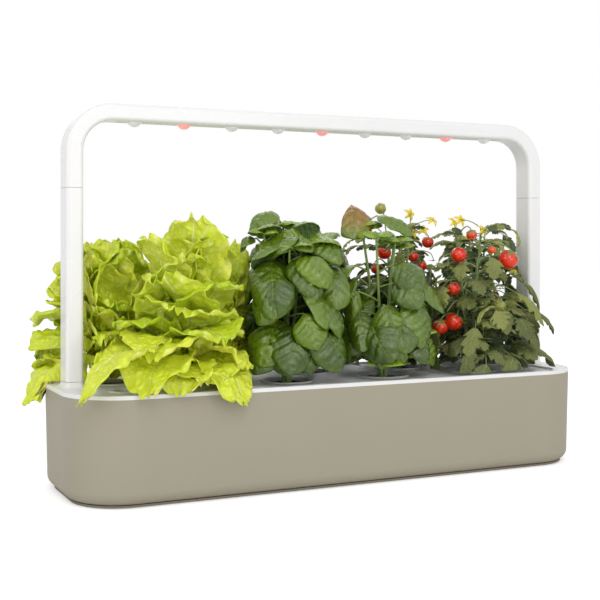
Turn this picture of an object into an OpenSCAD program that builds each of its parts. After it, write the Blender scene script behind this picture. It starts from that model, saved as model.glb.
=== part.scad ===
// Countertop hydroponic garden: a taupe base with a white water tank, a plug-on lamp and nine pods
// with lettuce, basil and cherry tomatoes. The origin is on the table, at the middle of the base;
// the front faces -Y.

/* [Base] */
// Length of the base from end to end
base_l = 606; // [590:2:680]
// Depth of the base from front to back
base_d = 187; // [184:1:220]
// Height of the shell's upper edge above the table
shell_top = 106; // [100:1:130]
// Radius of the base's corners seen from above
corner_r = 61; // [54:1:68]
// Radius of the rounding along the shell's lower edge
foot_round = 12; // [8:0.5:15]
// How far the shell draws in on each side towards its foot
shell_taper = 2.2; // [0.6:0.2:3]
// Thickness of the shell
shell_wall = 2.5; // [2:0.1:3.2]
// How far the base plate stands back from the shell's outline
plinth_inset = 9.5; // [7:0.5:12]
// Height of the shell's lower edge above the table
plinth_h = 3; // [2.6:0.2:5]
// Width of the floor lip that the base plate is screwed to
floor_lip = 11; // [10:0.5:14]
// Gap between the base plate and the table
foot_stand = 0.8; // [0.4:0.2:1.4]
// Diameter of a rubber foot
foot_d = 14; // [10:1:20]
// Diameter of a base screw's thread
screw_d = 3.5; // [3:0.1:4]

/* [Water tank] */
// Height of the white band above the shell
rim_h = 4; // [3:0.2:6]
// Width of the white land along the front and back
rim_land = 8; // [7:0.5:10]
// Length of the white deck at each end
end_deck = 35; // [33:0.5:38]
// Corner radius of the tank's mouth
mouth_r = 24; // [16:1:30]
// Wall thickness of the tank
tank_wall = 2.2; // [1.8:0.1:2.6]
// Width of the ledge that carries the lid
ledge_w = 3; // [2.5:0.1:4]
// Depth of the tank below the rim
tank_depth = 66; // [64:1:74]
// Height of the collar that centres the tank in the shell
collar_h = 8; // [6:0.5:12]
// Height of the boss round each lamp leg
boss_h = 6; // [4:0.5:10]
// Radius of the flare at the foot of each boss
boss_flare = 5; // [3:0.5:5.5]

/* [Lid] */
// How far the lid lies below the rim
lid_drop = 2; // [1:0.2:3]
// Thickness of the lid
lid_t = 2.4; // [2:0.1:3]

/* [Lamp] */
// Length of the lamp's straight legs above their seams
lamp_leg = 37.6; // [30:0.2:80]
// Width of a lamp leg along the base
leg_w = 18; // [17:0.5:20]
// Depth of a lamp leg from front to back
leg_d = 29; // [26:0.5:32]
// Radius of a leg's edges
leg_edge = 4; // [3.5:0.5:5]
// Distance of the lamp leg from the end of the base
leg_offset = 9.6; // [9:0.2:10.4]
// Wall thickness of the lamp's tubes
tube_wall = 2; // [1.6:0.1:2.4]
// Length of an extension arm between its seams
arm_l = 196; // [180:1:206]
// Outer radius of the lamp's two bends
bend_r = 50; // [44:1:60]
// Depth to which one tube plugs into the next
plug_l = 20; // [18:0.5:24]
// Open seam between plugged tubes
seam = 0.4; // [0.3:0.1:0.6]

/* [Lights] */
// Number of lights under the bar
led_count = 9; // [9]
// Distance of the end lights from the ends of their strip
led_end = 18.6; // [14:0.2:36]
// Diameter of a lens dome
lens_d = 15; // [13:0.5:17]
// How far a lens dome stands below the bar
lens_drop = 5; // [3:0.5:6]
// Width of the strip that closes the bar from below
cover_w = 22; // [21:0.5:22.5]
// Thickness of the strip
cover_t = 2; // [1.6:0.1:2.4]
// Thickness of the circuit boards
board_t = 1.6; // [1.2:0.1:2]

/* [Pods] */
// Distance of the end pods from the ends of the tank's mouth
pod_end = 32; // [30:0.5:32]
// Distance of each row of pods from the middle of the base
row_offset = 33; // [32:0.5:36]
// Diameter of a pod hole in the lid
pod_hole_d = 54; // [50:0.5:55]
// Width of a pod cup's flange beyond its hole
flange_w = 2.3; // [1.5:0.1:2.8]
// Thickness of a pod cup's flange
flange_t = 1.4; // [1:0.1:2]
// Depth of a pod cup below the lid's face
cup_depth = 50; // [40:1:51]
// Diameter of a pod cup at its foot
cup_foot_d = 34; // [30:1:40]
// Wall thickness of a pod cup
cup_wall = 1.2; // [1:0.1:1.6]

/* [Float] */
// Diameter of the water float
float_d = 21.8; // [18:0.2:22]
// Height of the water float
float_h = 24; // [20:1:28]
// Travel of the water float
float_travel = 22; // [16:1:23]
// Wall thickness of the float's guide
guide_wall = 1.3; // [1:0.1:1.6]

/* [Plants] */
// Height of the lettuces above their pods
lettuce_h = 176; // [150:2:190]
// Height of the basils above their pods
basil_h = 186; // [150:2:196]
// Height of the tomato plants above their pods
tomato_h = 192; // [150:2:200]
// How far an outer lettuce leaf reaches from its root
lettuce_spread = 92; // [84:1:98]
// Width of an outer lettuce leaf
lettuce_leaf_w = 62; // [50:1:70]
// How far a basil leaf reaches from the stem
basil_spread = 62; // [54:1:68]
// Width of a basil leaf
basil_leaf_w = 36; // [28:1:42]
// How far a tomato leaf reaches from the stem
tomato_spread = 66; // [58:1:72]
// Width of a tomato leaf
tomato_leaf_w = 46; // [38:1:52]
// Thickness of the leaves
leaf_t = 1.4; // [1:0.1:2]

/* [Fits] */
// Clearance of parts that slide or lift out
slide_fit = 0.3; // [0.2:0.05:0.4]
// Clearance of parts that are fixed together
fixed_fit = 0.15; // [0.1:0.05:0.25]

/* [Hidden] */
$fn = 64;
rim_top = shell_top + rim_h;
lid_top = rim_top - lid_drop;
seat_z = lid_top - lid_t;
boss_top = rim_top + boss_h;
deck_t = 2.4;
tank_floor = rim_top - tank_depth;
leg_x = base_l/2 - leg_offset - leg_w/2;
arm_z0 = boss_top + seam;
arm_z1 = boss_top + arm_l;
lamp_z0 = arm_z1 + seam;
lamp_top = lamp_z0 + lamp_leg + bend_r;
bend_c = bend_r - leg_w/2;
bar_z = lamp_top - leg_w/2;
bar_under = lamp_top - leg_w;
inner_w = leg_w - 2*tube_wall;
inner_d = leg_d - 2*tube_wall;
inner_r = leg_edge - tube_wall;
plug_w = inner_w - 2*slide_fit;
plug_d = inner_d - 2*slide_fit;
plug_wall = 1.6;
plug_floor = 6;
mouth_l = base_l - 2*end_deck;
mouth_d = base_d - 2*rim_land;
fillet_z = plinth_h + foot_round;
floor_inset = shell_taper + foot_round + floor_lip;
collar_inset = shell_wall + 0.4;
foot_top = plinth_h;
screw_inset = shell_taper + foot_round + floor_lip/2;
screw_x = [-base_l/2 + screw_inset, base_l/2 - screw_inset];
screw_y = [-base_d/2 + screw_inset, base_d/2 - screw_inset];
screw_at = concat([for (x = screw_x) [x, 0]],
                  [for (x = [-base_l/3, 0, base_l/3], y = screw_y) [x, y]]);
screw_boss_h = 11;
foot_at = concat([[0, 0]], [for (x = [-1, 1], y = [-1, 1]) [x*(base_l/2 - 62), y*(base_d/2 - 38)]]);
inlet_x = -base_l/2 + 90;
inlet_z = 26;
inlet_r = 5.5;
cover_l = 2*(leg_x - bend_c) - 12;
led_pitch = (cover_l - 2*led_end)/(led_count - 1);
led_at = [for (i = [0:led_count - 1]) (i - (led_count - 1)/2)*led_pitch];
red_leds = [1, 4, 7];
is_red = [for (i = [0:led_count - 1]) len(search(i, red_leds)) > 0];
lens_flange = 1;
lens_wall = 1.2;
board_z = bar_under + cover_t + 4;
board_w = cover_w - 4;
board_l = cover_l - 8;
chip_t = 1.2;
pod_pitch = (mouth_l - 2*pod_end)/4;
pod_at = [for (i = [0:8]) [(i - 4)*pod_pitch/2, i % 2 == 0 ? row_offset : -row_offset]];
cup_top_r = pod_hole_d/2 - slide_fit;
cup_foot_z = lid_top - cup_depth;
plug_top = lid_top - 2;
float_at = [-base_l/2 + 62, -row_offset - 10];
guide_in = float_d/2 + slide_fit + 0.1;
guide_out = guide_in + guide_wall;
guide_foot = lid_top - float_h - float_travel - 2*guide_wall;
cell_gap = 0.6;
lettuce_pods = [0, 1, 2];
basil_pods = [3, 4, 5];
tomato_pods = [6, 7, 8];
white = "#f4f3f2";
taupe = "#a59e8c";
lettuce_green = "#b4d034";
basil_green = "#3f6b22";
tomato_green = "#4a5f35";

// ---- shared shapes ----

// Rounded rectangle, centred
module plate(l, d, r) {
    square([l - 2*r, d], center = true);
    square([l, d - 2*r], center = true);
    for (x = [-1, 1], y = [-1, 1]) translate([x*(l/2 - r), y*(d/2 - r)]) circle(r);
}

// Upright slab between two heights, with the base's outline drawn in by an inset
module base_slab(z0, z1, inset) {
    translate([0, 0, z0]) linear_extrude(z1 - z0)
        plate(base_l - 2*inset, base_d - 2*inset, corner_r - inset);
}

// Upright slab between two heights, with the mouth's outline drawn in by an inset
module mouth_slab(z0, z1, inset) {
    translate([0, 0, z0]) linear_extrude(z1 - z0)
        plate(mouth_l - 2*inset, mouth_d - 2*inset, mouth_r - inset);
}

// Sweeps a section round a rounded rectangle; the section's x = 0 lies on the outline, outwards is +x
module around(l, d, r) {
    for (k = [0:3]) {
        out = k % 2 == 0 ? l/2 : d/2;
        side = k % 2 == 0 ? d/2 : l/2;
        rotate(90*k) {
            translate([out, side - r, 0]) rotate([90, 0, 0]) linear_extrude(2*(side - r)) children();
            translate([out - r, side - r, 0]) rotate_extrude(angle = 90) translate([r, 0]) children();
        }
    }
}

// Section of the shell's outer or inner face, from the core out to the wall
module shell_section(wall) {
    r = foot_round - wall;
    z0 = plinth_h + wall;
    difference() {
        polygon([[-corner_r, z0], [-shell_taper - wall, z0], [-shell_taper - wall, fillet_z],
                 [-wall, shell_top], [-corner_r, shell_top]]);
        difference() {
            translate([-shell_taper - wall - r, z0 - 1]) square([r + 1, r + 1]);
            translate([-shell_taper - wall - r, fillet_z]) circle(r);
        }
    }
}

// The body that the shell's outer or inner face encloses
module shell_body(wall) {
    around(base_l, base_d, corner_r) shell_section(wall);
    translate([0, 0, plinth_h + wall]) linear_extrude(shell_top - plinth_h - wall)
        square([base_l - 2*corner_r, base_d - 2*corner_r], center = true);
}

// How far the shell's back face stands from the middle at a height above the foot's rounding
function back_y(z) = base_d/2 - shell_taper*(shell_top - z)/(shell_top - fillet_z);

// Section of a lamp tube
module tube_section(w, d, r, wall) {
    difference() {
        plate(w, d, r);
        plate(w - 2*wall, d - 2*wall, max(r - wall, 0.4));
    }
}

// ---- base ----

module outer_shell() color(taupe) {
    difference() {
        shell_body(0);
        difference() {
            shell_body(shell_wall);
            for (p = screw_at) translate([p[0], p[1], plinth_h]) cylinder(d = screw_d + 4.5, h = screw_boss_h);
        }
        base_slab(shell_top - 0.01, shell_top + 1, shell_wall);
        base_slab(plinth_h - 1, plinth_h + shell_wall + 1, floor_inset);
        for (p = screw_at) translate([p[0], p[1], plinth_h - 1]) cylinder(d = screw_d, h = screw_boss_h);
        translate([inlet_x, base_d/2, inlet_z]) rotate([90, 0, 0]) cylinder(r = inlet_r + fixed_fit, h = 12);
    }
}

module base_plate() color("#8d8778") difference() {
    union() {
        base_slab(foot_stand, plinth_h, plinth_inset);
        base_slab(plinth_h, plinth_h + shell_wall, floor_inset + slide_fit);
    }
    for (p = foot_at) translate([p[0], p[1], foot_stand - 1]) cylinder(d = foot_d + 0.4, h = foot_top - foot_stand + 1);
    for (p = screw_at) translate([p[0], p[1], foot_stand]) {
        translate([0, 0, -1]) cylinder(d = screw_d + 0.5, h = plinth_h + 2);
        translate([0, 0, -1]) cylinder(d = 2*screw_d + 0.6, h = 1 + (plinth_h - foot_stand)/2);
    }
}

module rubber_feet() color("#3a3a38")
    for (p = foot_at) translate([p[0], p[1], 0]) cylinder(d = foot_d, h = foot_top);

module base_screws() color("silver") for (p = screw_at) translate([p[0], p[1], foot_stand]) difference() {
    union() {
        translate([0, 0, 0.1]) cylinder(d = 2*screw_d, h = (plinth_h - foot_stand)/2 - 0.1);
        cylinder(d = screw_d - 0.2, h = screw_boss_h - 2);
    }
    translate([0, 0, -0.1]) cylinder(d = screw_d*0.6, h = 0.8, $fn = 6);
}

// Deck, rim and collar
module tank_rim() {
    around(base_l, base_d, corner_r) translate([-collar_inset - 2, shell_top]) {
        square([collar_inset + 1, rim_h]);
        square([collar_inset + 2, rim_h - 1]);
        translate([collar_inset + 1, rim_h - 1]) circle(1);
    }
    base_slab(shell_top - collar_h, rim_top, collar_inset);
}

// Socket that a lamp leg plugs into, as the space inside or with its walls
module leg_socket(z0, z1, grow) {
    for (x = [-leg_x, leg_x]) translate([x, 0, z0]) linear_extrude(z1 - z0)
        plate(inner_w + 2*grow, inner_d + 2*grow, inner_r + grow);
}

module water_tank() color(white) {
    socket_z = boss_top - plug_l - seam;
    difference() {
        union() {
            difference() {
                tank_rim();
                base_slab(shell_top - collar_h - 1, rim_top - deck_t, collar_inset + tank_wall);
            }
            difference() {
                union() {
                    mouth_slab(seat_z - tank_wall, rim_top, -tank_wall);
                    mouth_slab(tank_floor, seat_z, ledge_w - tank_wall);
                }
                mouth_slab(tank_floor + tank_wall, rim_top, ledge_w);
            }
            for (x = [-leg_x, leg_x]) translate([x, 0, rim_top - 1]) {
                linear_extrude(boss_h + 1) plate(leg_w - 2, leg_d - 2, leg_edge - 1);
                around(leg_w, leg_d, leg_edge) difference() {
                    translate([-2, 0]) square([boss_flare + 2, boss_h + 1]);
                    translate([boss_flare, boss_flare + 1]) circle(boss_flare);
                    translate([0, boss_flare + 1]) square([boss_flare + 1, boss_h]);
                }
            }
            leg_socket(socket_z - tank_wall, rim_top - deck_t/2, tank_wall);
        }
        mouth_slab(seat_z, rim_top + 1, 0);
        leg_socket(socket_z, boss_top + 1, 0);
        translate([-leg_x, 0, socket_z - tank_wall - 1]) linear_extrude(tank_wall + 2)
            plate(inner_w - 6 + 2*fixed_fit, inner_d - 6 + 2*fixed_fit, 0.6);
    }
}

module dc_inlet() color("#202020") {
    y = back_y(inlet_z);
    translate([inlet_x, y, inlet_z]) rotate([90, 0, 0]) difference() {
        union() {
            translate([0, 0, -1.6]) cylinder(r = inlet_r + 1.8, h = 1.4);
            translate([0, 0, -1]) cylinder(r = inlet_r, h = 16);
        }
        translate([0, 0, -2]) cylinder(r = 3.1, h = 12);
    }
    translate([inlet_x, y + 0.6, inlet_z]) rotate([90, 0, 0]) cylinder(r = 1, h = 12);
}

module dc_inlet_nut() color("silver") translate([inlet_x, back_y(inlet_z) - shell_wall - 0.3, inlet_z])
    rotate([90, 0, 0]) difference() {
        cylinder(r = inlet_r + 3, h = 2.5, $fn = 6);
        translate([0, 0, -1]) cylinder(r = inlet_r + fixed_fit, h = 5);
    }

// Straight length of wire between two points on a level or upright line, with round ends
module wire(a, b, r) {
    v = b - a;
    h = norm(v);
    translate(a) rotate([0, acos(v[2]/h), atan2(v[1], v[0])]) cylinder(r = r, h = h);
    translate(b) sphere(r);
}

module power_harness() color("#202020") {
    y = back_y(inlet_z) - 15.4;
    z = boss_top - plug_l - seam - tank_wall - 6.2;
    wire([inlet_x, y, inlet_z], [inlet_x, y - 10, inlet_z], 1.6);
    wire([inlet_x, y - 10, inlet_z], [-leg_x, y - 10, inlet_z], 1.6);
    wire([-leg_x, y - 10, inlet_z], [-leg_x, 0, inlet_z], 1.6);
    translate([-leg_x, 0, inlet_z]) cylinder(r = 1.6, h = z - inlet_z);
}

module base_contact_block() color("#202020") {
    z = boss_top - plug_l - seam - tank_wall;
    translate([-leg_x, 0, z - 6]) linear_extrude(5.8) square([inner_w - 2, inner_d - 2], center = true);
    translate([-leg_x, 0, z - 1]) linear_extrude(tank_wall) plate(inner_w - 6, inner_d - 6, 0.6);
    for (y = [-4, 4]) translate([-leg_x, y, z]) cylinder(r = 1.2, h = tank_wall + plug_floor - 3);
}

// ---- extension arms ----

// A tube with a plug at its foot: the plug goes into whatever tube stands below z0
module plug_tube(z0) {
    translate([0, 0, z0 - plug_l]) linear_extrude(plug_l + 4) tube_section(plug_w, plug_d, inner_r, plug_wall);
    translate([0, 0, z0]) linear_extrude(4) difference() {
        plate(leg_w, leg_d, leg_edge);
        plate(plug_w - 2, plug_d - 2, inner_r);
    }
}

module extension_arm(side) translate([side*leg_x, 0, 0]) {
    plug_tube(arm_z0);
    translate([0, 0, arm_z0]) linear_extrude(arm_z1 - arm_z0) tube_section(leg_w, leg_d, leg_edge, tube_wall);
}

module left_extension_arm() color(white) extension_arm(-1);

module right_extension_arm() color(white) extension_arm(1);

// Contact block inside the plug at a tube's foot, bored for the pins below it
module plug_contact(z0) {
    w = plug_w - 2*plug_wall - 2*fixed_fit;
    d = plug_d - 2*plug_wall - 2*fixed_fit;
    translate([0, 0, z0 - plug_l]) difference() {
        linear_extrude(plug_floor) plate(w, d, 0.6);
        for (y = [-4, 4]) translate([0, y, -1]) cylinder(r = 1.5, h = plug_floor - 1);
    }
}

module arm_contacts() color("#d8b45a") translate([-leg_x, 0, 0]) {
    z = arm_z1 - plug_l;
    plug_contact(arm_z0);
    translate([0, 0, z - 6]) linear_extrude(5) plate(inner_w - 2*fixed_fit, inner_d - 2*fixed_fit, inner_r);
    for (y = [-4, 4]) translate([0, y, z - 2]) cylinder(r = 1.2, h = plug_floor - 1);
}

module arm_wires() color("#a02020") for (y = [-3, 3]) translate([-leg_x, y, arm_z0 - plug_l + plug_floor])
    cylinder(r = 0.9, h = arm_z1 - arm_z0 - 6 - plug_floor);

// ---- lamp ----

module lamp_bend() translate([leg_x - bend_c, 0, lamp_top - bend_r]) rotate([90, 0, 0])
    rotate_extrude(angle = 90) translate([bend_c, 0]) tube_section(leg_w, leg_d, leg_edge, tube_wall);

module lamp_frame() color(white) difference() {
    union() {
        for (x = [-leg_x, leg_x]) translate([x, 0, 0]) {
            plug_tube(lamp_z0);
            translate([0, 0, lamp_z0]) linear_extrude(lamp_top - bend_r - lamp_z0)
                tube_section(leg_w, leg_d, leg_edge, tube_wall);
        }
        lamp_bend();
        mirror([1, 0, 0]) lamp_bend();
        translate([-(leg_x - bend_c), 0, bar_z]) rotate([0, 90, 0]) linear_extrude(2*(leg_x - bend_c))
            tube_section(leg_w, leg_d, leg_edge, tube_wall);
        for (x = board_screw_x) translate([x, 0, board_z + board_t]) cylinder(r = 3, h = lamp_top - tube_wall/2 - board_z - board_t);
    }
    translate([0, 0, bar_under]) cube([cover_l, cover_w, 2*tube_wall + 1], center = true);
    for (x = board_screw_x) translate([x, 0, board_z]) cylinder(d = 2.5, h = board_t + 6);
}

board_screw_x = [for (i = [-1.5, -0.5, 0.5, 1.5]) 2*i*led_pitch + led_pitch/2*(i > 0 ? -1 : 1)];

module light_cover() color("#e6e8e4") difference() {
    union() {
        translate([0, 0, bar_under + cover_t/2 + 0.1])
            cube([cover_l - 2*fixed_fit, cover_w - 2*fixed_fit, cover_t - 0.2], center = true);
        for (y = [-1, 1]) translate([0, y*(cover_w/2 - 1.2), bar_under + cover_t/2 + 2])
            cube([board_l, 1.4, cover_t/2 + 4 - 0.2 + cover_t/2 - 2], center = true);
        for (y = [-1, 1]) translate([0, y*(cover_w/2), bar_under + tube_wall + 1.6])
            cube([cover_l - 4, 2, 1], center = true);
    }
    for (x = led_at) translate([x, 0, bar_under - 1]) cylinder(d = lens_d + 2*fixed_fit, h = cover_t + 2);
}

module led_board() color("#e8ebe6") difference() {
    translate([0, 0, board_z + board_t/2]) cube([board_l, board_w, board_t], center = true);
    for (x = board_screw_x) translate([x, 0, board_z - 1]) cylinder(d = 2.9, h = board_t + 2);
}

module led_board_screws() color("silver") for (x = board_screw_x) translate([x, 0, board_z]) {
    translate([0, 0, -1.2]) cylinder(d = 4.6, h = 1.2);
    translate([0, 0, -0.5]) cylinder(d = 2.3, h = board_t + 5);
}

module led_chips() color("#f2e6a0") for (x = led_at)
    translate([x, 0, board_z - chip_t/2]) cube([5, 5, chip_t], center = true);

// A lens: a hollow dome under the strip and a flange above it
module lens() {
    r = lens_d/2;
    ball = (r*r + lens_drop*lens_drop)/(2*lens_drop);
    translate([0, 0, bar_under]) rotate_extrude() difference() {
        union() {
            intersection() {
                translate([0, ball - lens_drop]) circle(ball);
                translate([0, -lens_drop - 1]) square([r, lens_drop + 1]);
            }
            square([r, cover_t + lens_flange]);
            translate([0, cover_t]) square([r + 1.2, lens_flange]);
        }
        intersection() {
            translate([0, ball - lens_drop]) circle(ball - lens_wall);
            translate([-1, -lens_drop - 1]) square([r - lens_wall + 1, lens_drop + 1.01]);
        }
        translate([-1, 0]) square([r - lens_wall + 1, cover_t + lens_flange + 1]);
        translate([-20, -20]) square([20, 60]);
    }
}

module white_lenses() color("#f4f6f2") for (i = [0:led_count - 1]) if (!is_red[i]) translate([led_at[i], 0, 0]) lens();

module red_lenses() color("#f3a7a2") for (i = [0:led_count - 1]) if (is_red[i]) translate([led_at[i], 0, 0]) lens();

driver_z = lamp_z0 + 8;
driver_l = lamp_top - bend_r - driver_z - 2;

module driver_board() color("#2f6b45") translate([-leg_x, 0, driver_z]) {
    linear_extrude(driver_l) square([board_t, inner_d - 2*fixed_fit], center = true);
    translate([board_t/2, -6, 6]) cube([3.5, 8, 9]);
    translate([board_t/2, 3, driver_l - 12]) cube([2.4, 6, 6]);
    translate([board_t/2 - 0.1, 4, 10]) rotate([0, 90, 0]) cylinder(r = 2.5, h = 4.5);
}

module lamp_contact() color("#202020") translate([-leg_x, 0, 0]) plug_contact(lamp_z0);

module lamp_wires() color("#a02020") {
    z0 = lamp_z0 - plug_l + plug_floor;
    bend_z = lamp_top - bend_r;
    for (y = [-3, 3]) translate([-leg_x, y, z0]) cylinder(r = 0.9, h = driver_z - z0);
    translate([-leg_x, -3, bend_z - 2]) cylinder(r = 0.9, h = 2);
    translate([-(leg_x - bend_c), -3, bend_z]) rotate([90, 0, 180]) rotate_extrude(angle = 90)
        translate([bend_c, 0]) circle(0.9);
    translate([-(leg_x - bend_c), -3, bar_z]) rotate([0, 90, 0]) cylinder(r = 0.9, h = (2*(leg_x - bend_c) - board_l)/2 + 6);
}

// ---- lid and float ----

module lid() color("#eeeeec") difference() {
    union() {
        mouth_slab(seat_z, lid_top, slide_fit);
        difference() {
            mouth_slab(seat_z - 4, seat_z, ledge_w + 0.6);
            mouth_slab(seat_z - 5, seat_z, ledge_w + 2.6);
        }
    }
    for (p = pod_at) translate([p[0], p[1], seat_z - 5]) cylinder(d = pod_hole_d, h = lid_t + 6);
    translate([float_at[0], float_at[1], seat_z - 1]) cylinder(r = guide_out + fixed_fit, h = lid_t + 2);
}

module float_guide() color(white) translate([float_at[0], float_at[1], 0]) difference() {
    union() {
        translate([0, 0, guide_foot]) cylinder(r = guide_out, h = lid_top - guide_foot + 0.5);
        translate([0, 0, lid_top]) cylinder(r = guide_out + 3, h = 1.2);
    }
    translate([0, 0, guide_foot + guide_wall]) cylinder(r = guide_in, h = lid_top - guide_foot);
    translate([0, 0, guide_foot - 1]) cylinder(r = guide_in - 4, h = guide_wall + 2);
    for (a = [0, 120, 240]) rotate(a) translate([guide_in - 1, -3, guide_foot + 4]) cube([guide_wall + 3, 6, float_travel]);
}

module water_float() color("#d9dcdc") translate([float_at[0], float_at[1], guide_foot + guide_wall])
    rotate_extrude() difference() {
        union() {
            square([float_d/2, float_h - 3]);
            square([float_d/2 - 3, float_h]);
            translate([float_d/2 - 3, float_h - 3]) circle(3);
        }
        translate([-float_d, 0]) square([float_d, float_h]);
    }

// ---- pods ----

module pod_cup(i) color(white) translate([pod_at[i][0], pod_at[i][1], 0]) difference() {
    rotate_extrude() polygon([
        [0, cup_foot_z], [cup_foot_d/2, cup_foot_z], [cup_top_r, lid_top - 4], [cup_top_r, lid_top],
        [pod_hole_d/2 + flange_w, lid_top], [pod_hole_d/2 + flange_w, lid_top + flange_t - 0.6],
        [pod_hole_d/2 + flange_w - 0.6, lid_top + flange_t], [cup_top_r - cup_wall - 0.4, lid_top + flange_t],
        [cup_top_r - cup_wall, lid_top + flange_t - 0.4], [cup_top_r - cup_wall, lid_top - 4],
        [cup_foot_d/2 - cup_wall, cup_foot_z + cup_wall], [0, cup_foot_z + cup_wall]]);
    translate([0, 0, cup_foot_z - 1]) cylinder(d = 10, h = cup_wall + 2);
    for (a = [0:60:300]) rotate(a) translate([cup_foot_d/2 - 5, -2, cup_foot_z + 4]) cube([12, 4, 14]);
}

module growing_plug(i) color("#4a382a") translate([pod_at[i][0], pod_at[i][1], 0]) rotate_extrude() polygon([
    [0, cup_foot_z + cup_wall], [cup_foot_d/2 - cup_wall - slide_fit, cup_foot_z + cup_wall],
    [cup_top_r - cup_wall - slide_fit, lid_top - 4], [cup_top_r - cup_wall - slide_fit, plug_top], [0, plug_top]]);

// ---- plants ----

// Repeatable scatter between 0 and 1
function scatter(i, k) = let (v = sin(i*127.1 + k*311.7 + 40)*437.585) v - floor(v);

// Point on a leaf's middle line at a fraction of its length: distance from its root, and height
function spine(l, rise, droop, t) =
    let (r = l*180/(PI*droop)) [r*(sin(rise) - sin(rise - droop*t)), r*(cos(rise - droop*t) - cos(rise))];

// A leaf: a thin closed sheet along an arc and cupped across; the shares are its widths from the root
// to the tip
module leaf(shares, l, w, rise, droop, cup = 0.25, cols = 3) {
    ring = 2*cols;
    rows = len(shares) - 1;
    points = [for (i = [0:rows], k = [0:ring - 1]) let (
        t = i/rows,
        j = k < cols ? k : ring - 1 - k,
        u = 2*j/(cols - 1) - 1,
        half = max(1.2, w/2*shares[i]),
        a = rise - droop*t,
        h = cup*half*u*u + (k < cols ? leaf_t/2 : -leaf_t/2),
        p = spine(l, rise, droop, t))
        [p[0] - sin(a)*h, u*half, p[1] + cos(a)*h]];
    faces = concat(
        [[for (k = [ring - 1:-1:0]) k]],
        [[for (k = [0:ring - 1]) rows*ring + k]],
        [for (i = [0:rows - 1], k = [0:ring - 1])
            let (a = i*ring + k, b = i*ring + (k + 1) % ring) each (k < cols - 1
                ? [[a, b, b + ring], [a, b + ring, a + ring]] : [[a, b, a + ring], [b, b + ring, a + ring]])]);
    polyhedron(points, faces);
}

// How far a plant may spread in one direction before it meets its neighbours
function free_reach(i, az, most) = min([most, for (j = [0:8]) if (j != i) let (
    v = pod_at[j] - pod_at[i], d = v*[cos(az), sin(az)]) d > 1 ? v*v/(2*d) : most]);

// The space that one plant has: its own part of the bed, clear of the lamp's legs
module plant_cell(i) difference() {
    translate([-base_l, -base_d*1.5, tank_floor]) cube([2*base_l, 3*base_d, lamp_top - tank_floor - 60]);
    for (j = [0:8]) if (j != i) {
        v = pod_at[j] - pod_at[i];
        if (norm(v) < 1.3*pod_pitch) translate([pod_at[i][0], pod_at[i][1], 0]) rotate(atan2(v[1], v[0]))
            translate([norm(v)/2 - cell_gap, -2*base_l, 0]) cube([4*base_l, 4*base_l, 2*lamp_top]);
    }
    for (x = [-leg_x, leg_x]) translate([x, 0, lamp_top/2])
        cube([leg_w + 5, leg_d + 5, lamp_top], center = true);
}

// Leaves may hang outside the base but not into it; the crown stands on the growing plug
module above_base(i, crown_r) difference() {
    children();
    difference() {
        base_slab(-1, rim_top + 1.6, -1.6);
        translate([pod_at[i][0], pod_at[i][1], plug_top + 0.3]) cylinder(r = crown_r, h = lamp_top);
    }
    for (x = [-leg_x, leg_x]) translate([x, 0, rim_top])
        cube([leg_w + 2*boss_flare + 3, leg_d + 2*boss_flare + 3, 2*boss_flare + 3], center = true);
}

// A plant that keeps to its own space
module plant(i, crown_r) intersection() {
    above_base(i, crown_r) translate([pod_at[i][0], pod_at[i][1], plug_top]) children();
    plant_cell(i);
}

// A tapering stem as a chain of short pieces along a lean
module stem(h, r0, r1, az, lean, parts) for (k = [0:parts - 1]) hull() for (t = [k/parts, (k + 1)/parts])
    rotate(az) translate([lean*t*t, 0, h*t]) rotate(17*k) cylinder(r = r0 + (r1 - r0)*t, h = 1, $fn = 5);

// A lettuce leaf's half width at a fraction of its length
function lettuce_share(t) = t < 0.6 ? 0.16 + 0.84*sin(150*t) : sqrt(max(0.06, 1 - pow((t - 0.6)/0.4, 2)));

// A lettuce leaf, filled underneath down to its root so that the head is one solid
module lobe(l, w, rise, droop, frill, rows = 5, cols = 5) {
    points = concat([[0, 0, 0]], [for (i = [0:rows], j = [0:cols - 1]) let (
        t = 0.14 + 0.86*i/rows,
        u = 2*j/(cols - 1) - 1,
        half = w/2*lettuce_share(t),
        a = rise - droop*t,
        h = 0.22*half*u*u + frill*t*(j % 2 == 0 ? 1 : -1)*(abs(u) > 0.9 ? (i % 2 == 0 ? 1 : -1) : 0.4),
        p = spine(l, rise, droop, t))
        [p[0] - sin(a)*h, u*half, p[1] + cos(a)*h]]);
    function at(i, j) = 1 + i*cols + j;
    faces = concat(
        [for (i = [0:rows - 1], j = [0:cols - 2])
            each [[at(i, j), at(i, j + 1), at(i + 1, j + 1)], [at(i, j), at(i + 1, j + 1), at(i + 1, j)]]],
        [for (j = [0:cols - 2]) each [[at(0, j + 1), at(0, j), 0], [at(rows, j), at(rows, j + 1), 0]]],
        [for (i = [0:rows - 1])
            each [[at(i, 0), at(i + 1, 0), 0], [at(i + 1, cols - 1), at(i, cols - 1), 0]]]);
    polyhedron(points, faces);
}

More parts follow.
